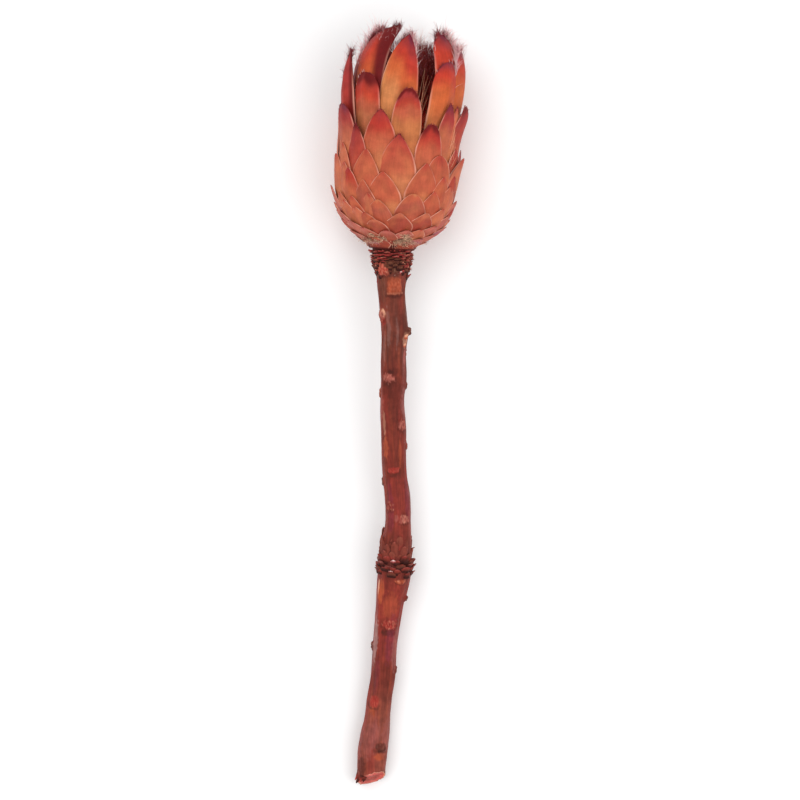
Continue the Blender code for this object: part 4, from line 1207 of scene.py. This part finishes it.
def bark_tone(y, angle, radius):
    """The colour of the bark at a place, with painted sheen on the flanks and painted shadow under the scars.
    """
    slow = bark_noise(angle, 1.6, 11, 0, y * 0.03)
    tone = tinted(mixed(BARK_STOPS, y), "bark_red", max(slow, 0))
    tone = tinted(tone, "bark_dark", max(-slow, 0) * 0.6)
    streak = bark_noise(angle, 6, 0, 5, y * 0.07)
    tone = tinted(tone, "bark_orange", max(streak, 0) * 0.35)
    tone = tinted(tone, "bark_dark", max(-streak, 0) * 0.35)
    # Painted sheen: the flanks turn mauve, unevenly, and less so above y 20.
    off_top = abs(from_top(angle))
    flank = smooth_step(40, 78, off_top) * (1 - smooth_step(80, 130, off_top))
    flank *= 1 - 0.7 * smooth_step(8, 20, y)
    flank_sheen = max(0.3 + 0.9 * noise_at(math.sin(math.radians(angle)) * 2, 4, y * 0.05), 0)
    tone = tinted(tone, "bark_mauve", min(flank_sheen, 0.9) * flank)
    ragged = 0.45 * bark_noise(angle, 9, 0, 0, y * 0.7)
    for patch_y, patch_angle, length, width, name, strength in BARK_PATCHES:
        if abs(y - patch_y) < length:
            away = spot_distance(y, angle, radius, patch_y, patch_angle, length, width, 2) + ragged
            tone = tinted(tone, name, strength * (1 - smooth_step(0.7, 1.15, away)))
    for scar, away in scars_near(y, angle, radius):
        scar_y, _, length, _, _, squareness, name = scar
        # Painted shadow: a dark band just under each scar.
        shadow_below = smooth_step(-0.2, 0.5, (scar_y - y) / length)
        tone = tinted(tone, "bark_dark", 0.6 * shadow_below * math.exp(-(((away - 1.2) / 0.2) ** 2)))
        inside = 1 - smooth_step(0.75, 1.05, away)
        tone = tinted(tone, name, 0.85 * inside)
        crackle = bark_noise(angle, 16, 0, 2, y * 0.9)
        rough = inside * (0.3 if squareness > SQUARE_FROM else 1.0)
        tone = tinted(tone, "bark_peach", max(crackle, 0) * 0.7 * rough)
        tone = tinted(tone, "bark_dark", max(-crackle, 0) * 1.2 * rough)
    return tone


def add_stem_tube(bm):
    """Adds the stem from inside the bloom to below its cut end, open at both ends."""
    tone = bm.verts.layers.float_color["tone"]
    sides, rows = TUBE_CELLS
    corners = bmesh.ops.create_grid(bm, x_segments=sides, y_segments=rows, size=1.0)["verts"]
    rings = {}
    for corner in corners:
        row = round((corner.co.y + 1) / 2 * rows)
        if row not in rings:
            y = STEM_TOP - row / rows * STEM_LENGTH
            rings[row] = (y, *stem_ring(y))
        y, centre, radius, face, up = rings[row]
        angle = corner.co.x * 180
        out = out_of_stem(face, up, angle)
        spot = (centre + out * radius * MM) / MM
        raised = bark_height(y, angle, radius, spot)
        corner[tone] = (*bark_tone(y, angle, radius), 1.0)
        corner.co = centre + out * (radius + raised) * MM
    bmesh.ops.remove_doubles(bm, verts=bm.verts, dist=0.02 * MM)


def cut_stem_end(bm):
    """Cuts the stem off on a slant, closes both ends, and gives the cut a pale rim and rings of wood."""
    tone = bm.verts.layers.float_color["tone"]
    turn = Matrix.Rotation(math.radians(CUT_TURN_DEG), 3, "Z")
    turn = turn @ Matrix.Rotation(math.radians(-CUT_TIP_DEG), 3, "X")
    bmesh.ops.bisect_plane(
        bm, geom=[*bm.verts, *bm.edges, *bm.faces], plane_co=Vector(CUT_MIDDLE) * MM,
        plane_no=turn @ Vector((0, -1, 0)), clear_outer=True,
    )
    rim = [edge for edge in bm.edges if edge.is_boundary]
    for corner in {corner for edge in rim for corner in edge.verts}:
        if corner.co.y < 0:
            corner.co.y += 0.6 * noise.noise(corner.co * 700) * MM
    caps = bmesh.ops.holes_fill(bm, edges=rim, sides=0)["faces"]
    cut_face = min(caps, key=lambda face: face.calc_center_median().y)
    bmesh.ops.recalc_face_normals(bm, faces=bm.faces)
    draw = random.Random(SEED + 6)
    for share, name in CUT_RINGS:
        cut_face = bmesh.ops.extrude_discrete_faces(bm, faces=[cut_face])["faces"][0]
        middle = cut_face.calc_center_median()
        for corner in cut_face.verts:
            rough = cut_face.normal * draw.uniform(-0.1, 0.1) * MM
            corner[tone] = (*colour_of(name), 1.0)
            corner.co = middle + (corner.co - middle) * share + rough
    bmesh.ops.poke(bm, faces=[cut_face])


def make_stem():
    """The stem, with the receptacle that the bracts grow round."""
    neck = blade_mesh()
    outline = [(0.0, RECEPTACLE[-1][0])] + [(radius, height) for height, radius in reversed(RECEPTACLE)]
    add_turned_body(neck, outline + [(0.0, RECEPTACLE[0][0])], "bark_dark")
    bmesh.ops.recalc_face_normals(neck, faces=neck.faces)
    bmesh.ops.transform(neck, verts=neck.verts, matrix=bloom_matrix())
    bm = blade_mesh()
    add_stem_tube(bm)
    cut_stem_end(bm)
    bmesh.ops.translate(bm, verts=bm.verts, vec=ORIGIN_SHIFT)
    join_meshes(bm, neck)
    return finished_piece(bm, "stem_bark", bark_material("dry_bark", 0.55, 0.3 * MM), "stem")


class Scale(NamedTuple):
    """One small dry scale: where its root is, its size, its lean and its colours."""

    y: float
    angle: float
    stands_out: float
    length: float
    width: float
    lean_deg: float
    tones: tuple


def add_scale(bm, draw, scale, way=1):
    """Adds one small dry scale whose root is sunk in the stem; its way is 1 up the stem, -1 down."""
    along = bm.verts.layers.float["along"]
    tone = bm.verts.layers.float_color["tone"]
    centre, radius, face, stem_up = stem_ring(scale.y)
    out = out_of_stem(face, stem_up, scale.angle)
    up = stem_up * way
    sideways = up.cross(out)
    lean = math.radians(scale.lean_deg)
    root_radius = radius + scale.stands_out
    ragged = draw.uniform(0, 100)
    cells = max(6, round(scale.width * 1.3))
    corners = bmesh.ops.create_grid(bm, x_segments=cells, y_segments=7, size=1.0)["verts"]
    for corner in corners:
        side, place = corner.co.x, (corner.co.y + 1) / 2
        share = 0.85 + 0.15 * math.sin(min(place / 0.4, 1) * math.pi / 2)
        share *= max(1 - place**3.4, 0) ** 0.6
        tear = 0.3 * noise_at(ragged, side * scale.width * 0.6 * min(share * 3, 1), place * 3) * place
        bend = math.radians(scale.lean_deg * 0.8) * place
        rise = up * math.cos(lean + bend) + out * math.sin(lean + bend)
        reach = place * scale.length * 1.5 * (1 + tear) - 0.4
        turn = side * scale.width / 2 * share / root_radius
        way_out = out * math.cos(turn) + sideways * math.sin(turn)
        wave = 0.3 * noise_at(ragged, side, place * 3) * min(share * 3, 1) - 0.22 * side * side * share
        corner[along] = place
        corner[tone] = (*mixed(scale.tones, place + 0.15 * noise_at(ragged, side * 2, 0)), 1.0)
        corner.co = centre + way_out * (root_radius + wave) * MM + rise * reach * MM
    inward = -(out * math.cos(lean) - up * math.sin(lean)).normalized()
    for corner in close_blade(bm, corners, 0.05 * MM):
        corner.co += inward * (0.3 + 0.9 * (1 - corner[along])) * MM


def inside_stretch(stretch, y, angle):
    lowest, highest, first, last = stretch
    return lowest < y < highest and first < from_top(angle) < last


def add_scale_rows(bm, draw):
    """Adds the rows of scales round the stem, but none where the collar is bare."""
    for row, (y, stands_out, count, length, width, lean, kind) in enumerate(SCALE_ROWS):
        loose = 0.3 if kind == "tongue" else 0.7
        for k in range(count):
            angle = 360 * (k + 0.5 * (row % 2) + draw.uniform(-0.3, 0.3)) / count
            scale = Scale(
                y + draw.uniform(-loose, loose), angle, stands_out + draw.uniform(-0.2, 0.25),
                length * draw.uniform(0.7, 1.25), width * draw.uniform(0.75, 1.1),
                lean + draw.uniform(-10, 10) * loose, draw.choice(SCALE_DRESSES[kind]),
            )
            if inside_stretch(COLLAR_BARE, y, angle):
                continue
            if inside_stretch(COLLAR_HOLLOW, y, angle):
                scale = scale._replace(tones=draw.choice(SCALE_DRESSES["olive"]))
            add_scale(bm, draw, scale)


def make_stem_scales():
    """The scales of the collar and of the node, with single ones and torn flaps of bark."""
    bm = blade_mesh()
    draw = random.Random(SEED + 2)
    add_scale_rows(bm, draw)
    for y, angle, length, width, lean, kind in SINGLE_SCALES:
        scale = Scale(y, angle, 0.2, length, width, lean, draw.choice(SCALE_DRESSES[kind]))
        add_scale(bm, draw, scale)
    lowest, highest, first, last, count = RAGGED_HEAP
    for _ in range(count):
        scale = Scale(
            draw.uniform(lowest, highest), draw.uniform(first, last), draw.uniform(0.1, 0.8),
            draw.uniform(0.8, 1.3), draw.uniform(1.2, 2.4), draw.uniform(16, 46),
            draw.choice(SCALE_DRESSES["collar"]),
        )
        add_scale(bm, draw, scale)
    for y, angle, length, width, lean in TORN_FLAPS:
        scale = Scale(y, angle, 0.1, length, width, lean, draw.choice(SCALE_DRESSES["torn"]))
        add_scale(bm, draw, scale, way=-1)
    bmesh.ops.recalc_face_normals(bm, faces=bm.faces)
    bmesh.ops.translate(bm, verts=bm.verts, vec=ORIGIN_SHIFT)
    return finished_piece(bm, "stem_scales", bark_material("dry_scales", 0.65, 0.2 * MM))


def feed(tree, operand, slot):
    """Gives an input of a node a socket to read, a number, or a linear colour."""
    if isinstance(operand, bpy.types.NodeSocket):
        tree.links.new(operand, slot)
    elif isinstance(operand, (int, float)):
        slot.default_value = operand
    else:
        slot.default_value = (*operand, 1.0)


def shared_group(name, inputs, outputs, fill):
    """The shader node group of this name, made the first time; fill gives the sockets of its outputs.

    An input has its number, or None where it is a vector.
    """
    if name in bpy.data.node_groups:
        return bpy.data.node_groups[name]
    group = bpy.data.node_groups.new(name, "ShaderNodeTree")
    for socket, value in inputs.items():
        kind = "NodeSocketVector" if value is None else "NodeSocketFloat"
        made = group.interface.new_socket(name=socket, in_out="INPUT", socket_type=kind)
        if value is not None:
            made.default_value = value
    for socket in outputs:
        group.interface.new_socket(name=socket, in_out="OUTPUT", socket_type="NodeSocketFloat")
    into, out = group.nodes.new("NodeGroupInput"), group.nodes.new("NodeGroupOutput")
    for value, slot in zip(fill(group, into.outputs), out.inputs):
        group.links.new(value, slot)
    return group


def placed_group(tree, group, **values):
    """Adds a node with this group, feeds the inputs that are named, and returns its outputs."""
    node = tree.nodes.new("ShaderNodeGroup")
    node.node_tree = group
    for name, value in values.items():
        feed(tree, value, node.inputs[name.replace("_", " ").title()])
    return node.outputs


def math_node(tree, operation, *operands):
    """Adds a Math node; each operand is a number or a socket."""
    node = tree.nodes.new("ShaderNodeMath")
    node.operation = operation
    for slot, operand in zip(node.inputs, operands):
        feed(tree, operand, slot)
    return node.outputs[0]


def product(tree, first, *others):
    for other in others:
        first = math_node(tree, "MULTIPLY", first, other)
    return first


def ranged(tree, value, low, high, new_low=0.0, new_high=1.0):
    """Adds a smooth Map Range node."""
    node = tree.nodes.new("ShaderNodeMapRange")
    node.interpolation_type = "SMOOTHSTEP"
    tree.links.new(value, node.inputs["Value"])
    for name, number in (("From Min", low), ("From Max", high), ("To Min", new_low), ("To Max", new_high)):
        node.inputs[name].default_value = number
    return node.outputs["Result"]


def blended(tree, kind, share, first, second):
    """Adds a colour Mix node; the colours are sockets or linear colours."""
    node = tree.nodes.new("ShaderNodeMix")
    node.data_type = "RGBA"
    node.blend_type = kind
    for slot, operand in ((node.inputs[0], share), (node.inputs[6], first), (node.inputs[7], second)):
        feed(tree, operand, slot)
    return node.outputs[2]


def joined(tree, *values):
    """Three values as one vector."""
    node = tree.nodes.new("ShaderNodeCombineXYZ")
    for value, slot in zip(values, node.inputs):
        tree.links.new(value, slot)
    return node.outputs[0]


def shaded(tree, tone, light):
    """A colour made darker or lighter by a value round 1."""
    return blended(tree, "MULTIPLY", 1.0, tone, joined(tree, light, light, light))


def noise_texture(tree, place, scale, detail, roughness=0.5):
    """Adds a Noise Texture node and returns its value."""
    node = tree.nodes.new("ShaderNodeTexNoise")
    values = {"Vector": place, "Scale": scale, "Detail": detail, "Roughness": roughness}
    for name, value in values.items():
        feed(tree, value, node.inputs[name])
    return node.outputs[0]


def attribute(tree, name, output="Fac"):
    node = tree.nodes.new("ShaderNodeAttribute")
    node.attribute_type = "GEOMETRY"
    node.attribute_name = name
    return node.outputs[output]


def object_place(tree):
    return tree.nodes.new("ShaderNodeTexCoord").outputs["Object"]


def mottling_group():
    """Soft blotches of two sizes, each as a value round 0.5."""

    def fill(group, given):
        blotches = noise_texture(group, given["Place"], given["Blotch Scale"], 3.0, 0.55)
        return blotches, noise_texture(group, given["Place"], given["Fleck Scale"], 2.0, 0.6)

    inputs = {"Place": None, "Blotch Scale": 250.0, "Fleck Scale": 1400.0}
    return shared_group("mottling", inputs, ("Value", "Flecks"), fill)


def vein_group():
    """Fine veins that run from the root of a blade to its tip, as a value round 0.5."""

    def fill(group, given):
        across = math_node(group, "MULTIPLY", given["Across"], given["Count"])
        along = math_node(group, "MULTIPLY", given["Along"], given["Waver"])
        slow = noise_texture(group, given["Place"], 60.0, 0.0)
        return (noise_texture(group, joined(group, across, along, slow), 1.0, 2.0, 0.6),)

    inputs = {"Across": 0.0, "Along": 0.0, "Count": 14.0, "Waver": 2.0, "Place": None}
    return shared_group("blade_veins", inputs, ("Value",), fill)


def rim_group():
    """A mask of a blade's rim: 1 along both edges."""

    def fill(group, given):
        return (ranged(group, math_node(group, "ABSOLUTE", given["Across"]), 0.87, 0.99),)

    return shared_group("blade_rim", {"Across": 0.0}, ("Rim",), fill)


def grain_group():
    """Fine streaks along the stem, as a value round 0.5."""

    def fill(group, given):
        parts = group.nodes.new("ShaderNodeSeparateXYZ")
        group.links.new(given["Place"], parts.inputs[0])
        x, y, z = parts.outputs
        drawn_out = joined(group, x, math_node(group, "MULTIPLY", y, given["Stretch"]), z)
        return (noise_texture(group, drawn_out, given["Fineness"], 3.0, 0.6),)

    inputs = {"Place": None, "Fineness": 1400.0, "Stretch": 0.08}
    return shared_group("bark_grain", inputs, ("Value",), fill)


def principled(name, roughness, sheen=0.0, sheen_tint=None):
    """A matt material, with its node tree and its shader."""
    made = bpy.data.materials.new(name)
    made.use_nodes = True
    shader = made.node_tree.nodes["Principled BSDF"]
    shader.inputs["Roughness"].default_value = roughness
    shader.inputs["Specular IOR Level"].default_value = 0.12
    shader.inputs["Sheen Weight"].default_value = sheen
    shader.inputs["Sheen Roughness"].default_value = 0.5
    if sheen_tint is not None:
        shader.inputs["Sheen Tint"].default_value = (*sheen_tint, 1.0)
    return made, made.node_tree, shader


def relief(tree, shader, height, strength, distance):
    bump = tree.nodes.new("ShaderNodeBump")
    bump.inputs["Strength"].default_value = strength
    bump.inputs["Distance"].default_value = distance
    tree.links.new(height, bump.inputs["Height"])
    tree.links.new(bump.outputs[0], shader.inputs["Normal"])


def dry_blade_material(name, roughness, vein_count):
    """Dry, matt bract: its colours, some of them painted shade, with veins, blotches and a pale rim that is
    partly a dry margin and partly a painted highlight.
    """
    made, tree, shader = principled(name, roughness, 0.02, colour_of("rim"))
    place, across, along = object_place(tree), attribute(tree, "across"), attribute(tree, "along")
    mottling = placed_group(tree, mottling_group(), place=place, blotch_scale=260.0, fleck_scale=1500.0)
    veins = placed_group(
        tree, vein_group(), across=across, along=along, count=vein_count, waver=2.0, place=place,
    )
    flecks = mottling["Flecks"]
    light = product(
        tree,
        ranged(tree, mottling["Value"], 0.3, 0.7, 0.75, 0.95),
        ranged(tree, veins["Value"], 0.3, 0.7, 0.94, 1.05),
        ranged(tree, flecks, 0.35, 0.7, 0.96, 1.04),
        ranged(tree, flecks, 0.64, 0.72, 1.0, 0.84),
    )
    colour = shaded(tree, attribute(tree, "tone", "Color"), light)
    rim = placed_group(tree, rim_group(), across=across)
    edge = math_node(tree, "MULTIPLY", rim["Rim"], attribute(tree, "rim"))
    feed(tree, blended(tree, "MIX", edge, colour, colour_of("rim")), shader.inputs["Base Color"])
    patchy = ranged(tree, flecks, 0.3, 0.7, roughness - 0.08, roughness + 0.1)
    feed(tree, patchy, shader.inputs["Roughness"])
    height = math_node(tree, "ADD", veins["Value"], math_node(tree, "MULTIPLY", flecks, 0.5))
    relief(tree, shader, height, 0.35, 0.25 * MM)
    return made


def hair_material(name):
    """Dull hair in its own colours, a little uneven."""
    made, tree, shader = principled(name, 0.7, 0.04)
    place = object_place(tree)
    mottling = placed_group(tree, mottling_group(), place=place, blotch_scale=900.0, fleck_scale=3000.0)
    light = ranged(tree, mottling["Value"], 0.3, 0.7, 0.8, 1.15)
    feed(tree, shaded(tree, attribute(tree, "tone", "Color"), light), shader.inputs["Base Color"])
    return made


def bark_material(name, roughness, grain_depth):
    """Dry bark in its colours, some of them painted sheen and shadow, with grain along the stem and blotches.
    """
    made, tree, shader = principled(name, roughness, 0.12, colour_of("bark_pink"))
    place = object_place(tree)
    grain = placed_group(tree, grain_group(), place=place, fineness=1300.0, stretch=0.07)
    mottling = placed_group(tree, mottling_group(), place=place, blotch_scale=300.0, fleck_scale=1600.0)
    flecks = mottling["Flecks"]
    light = product(
        tree,
        ranged(tree, grain["Value"], 0.3, 0.7, 0.76, 1.06),
        ranged(tree, mottling["Value"], 0.3, 0.7, 0.85, 1.15),
    )
    feed(tree, shaded(tree, attribute(tree, "tone", "Color"), light), shader.inputs["Base Color"])
    patchy = ranged(tree, flecks, 0.3, 0.7, roughness - 0.1, roughness + 0.12)
    feed(tree, patchy, shader.inputs["Roughness"])
    height = math_node(tree, "ADD", grain["Value"], math_node(tree, "MULTIPLY", flecks, 0.4))
    relief(tree, shader, height, 0.5, grain_depth)
    return made


def make_floor():
    """The pale floor, with a hardly visible unevenness."""
    bm = bmesh.new()
    bmesh.ops.create_grid(bm, x_segments=2, y_segments=2, size=3.0)
    mesh = bpy.data.meshes.new("floor")
    bm.to_mesh(mesh)
    bm.free()
    floor = bpy.data.objects.new("floor", mesh)
    bpy.context.scene.collection.objects.link(floor)
    made, tree, shader = principled("pale_floor", 0.8)
    place = object_place(tree)
    mottling = placed_group(tree, mottling_group(), place=place, blotch_scale=4.0, fleck_scale=300.0)
    light = ranged(tree, mottling["Value"], 0.2, 0.8, 0.985, 1.0)
    feed(tree, shaded(tree, colour_of("floor"), light), shader.inputs["Base Color"])
    mesh.materials.append(made)
    floor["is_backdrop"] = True


def make_lights():
    """The soft white room and the two lamps that shine down on the object."""
    scene = bpy.context.scene
    world = bpy.data.worlds.new("soft_room")
    world.use_nodes = True
    background = world.node_tree.nodes["Background"]
    background.inputs["Color"].default_value = (1.0, 1.0, 1.0, 1.0)
    background.inputs["Strength"].default_value = 0.8
    scene.world = world
    for name, spot, size, power in LAMPS:
        lamp = bpy.data.lights.new(name, "AREA")
        lamp.shape = "DISK"
        lamp.size = size
        lamp.energy = power
        light = bpy.data.objects.new(name, lamp)
        light.location = spot
        light.rotation_mode = "QUATERNION"
        light.rotation_quaternion = (LIT_SPOT - Vector(spot)).to_track_quat("-Z", "Y")
        scene.collection.objects.link(light)


def make_camera():
    """The camera that looks straight down, with the whole object in its view."""
    scene = bpy.context.scene
    lens = bpy.data.cameras.new("camera")
    lens.lens = LENS
    lens.sensor_width = SENSOR
    lens.clip_start, lens.clip_end = 0.05, 20.0
    camera = bpy.data.objects.new("camera", lens)
    camera.location = Vector((*VIEW_MIDDLE, VIEW_LEVEL + VIEW_WIDTH * LENS / SENSOR)) * MM
    scene.collection.objects.link(camera)
    scene.camera = camera


def make_stage():
    """The pale floor, the soft lights and the camera that looks down."""
    bpy.context.scene.view_settings.view_transform = "Standard"
    make_floor()
    make_lights()
    make_camera()


class PROTEA_OT_stem(Operator):
    """Make the stem with its bark, leaf scars and cut end"""

    bl_idname = "protea.stem"
    bl_label = "Stem"

    def execute(self, context):
        make_stem()
        return {"FINISHED"}


class PROTEA_OT_stem_scales(Operator):
    """Make the small dry scales of the collar and of the node halfway down the stem"""

    bl_idname = "protea.stem_scales"
    bl_label = "Stem scales"

    def execute(self, context):
        make_stem_scales()
        return {"FINISHED"}


class PROTEA_OT_outer_bracts(Operator):
    """Make the overlapping outer bracts"""

    bl_idname = "protea.outer_bracts"
    bl_label = "Outer bracts"

    def execute(self, context):
        make_outer_bracts()
        return {"FINISHED"}


class PROTEA_OT_inner_bracts(Operator):
    """Make the long inner bracts"""

    bl_idname = "protea.inner_bracts"
    bl_label = "Inner bracts"

    def execute(self, context):
        make_inner_bracts()
        return {"FINISHED"}


class PROTEA_OT_florets(Operator):
    """Make the florets and loose fibres inside the bracts"""

    bl_idname = "protea.florets"
    bl_label = "Florets"

    def execute(self, context):
        make_florets()
        return {"FINISHED"}


class PROTEA_OT_hairs(Operator):
    """Make the hairs at the tips of the bracts and the wool at the foot of the bloom"""

    bl_idname = "protea.hairs"
    bl_label = "Hairs and wool"

    def execute(self, context):
        make_tip_hairs()
        make_base_wool()
        return {"FINISHED"}


class PROTEA_OT_stage(Operator):
    """Make the floor, the lights and the camera"""

    bl_idname = "protea.stage"
    bl_label = "Stage"

    def execute(self, context):
        make_stage()
        return {"FINISHED"}


class PROTEA_PT_panel(Panel):
    """Lists what makes the protea, in the order to run it"""

    bl_idname = "PROTEA_PT_panel"
    bl_label = "Dried protea"
    bl_space_type = "VIEW_3D"
    bl_region_type = "UI"
    bl_category = "Protea"

    def draw(self, context):
        column = self.layout.column()
        for operator in OPERATORS:
            column.operator(operator.bl_idname)
        for group in (context.scene.protea_sizes, context.scene.protea_colours):
            box = self.layout.box()
            for name in group.__annotations__:
                box.prop(group, name)


OPERATORS = (
    PROTEA_OT_stem,
    PROTEA_OT_stem_scales,
    PROTEA_OT_outer_bracts,
    PROTEA_OT_inner_bracts,
    PROTEA_OT_florets,
    PROTEA_OT_hairs,
    PROTEA_OT_stage,
)
CLASSES = (ProteaSizes, ProteaColours, *OPERATORS, PROTEA_PT_panel)


def register():
    for one in CLASSES:
        bpy.utils.register_class(one)
    bpy.types.Scene.protea_sizes = PointerProperty(type=ProteaSizes)
    bpy.types.Scene.protea_colours = PointerProperty(type=ProteaColours)


def unregister():
    del bpy.types.Scene.protea_colours
    del bpy.types.Scene.protea_sizes
    for one in reversed(CLASSES):
        bpy.utils.unregister_class(one)


def main():
    register()
    bpy.ops.protea.stem()
    bpy.ops.protea.stem_scales()
    bpy.ops.protea.outer_bracts()
    bpy.ops.protea.inner_bracts()
    bpy.ops.protea.florets()
    bpy.ops.protea.hairs()
    bpy.ops.protea.stage()
    boxes = {"cad": CAD_BOX, "visual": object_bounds()}
    plain = {name: [list(low), list(high)] for name, (low, high) in boxes.items()}


if __name__ == "__main__":
    main()
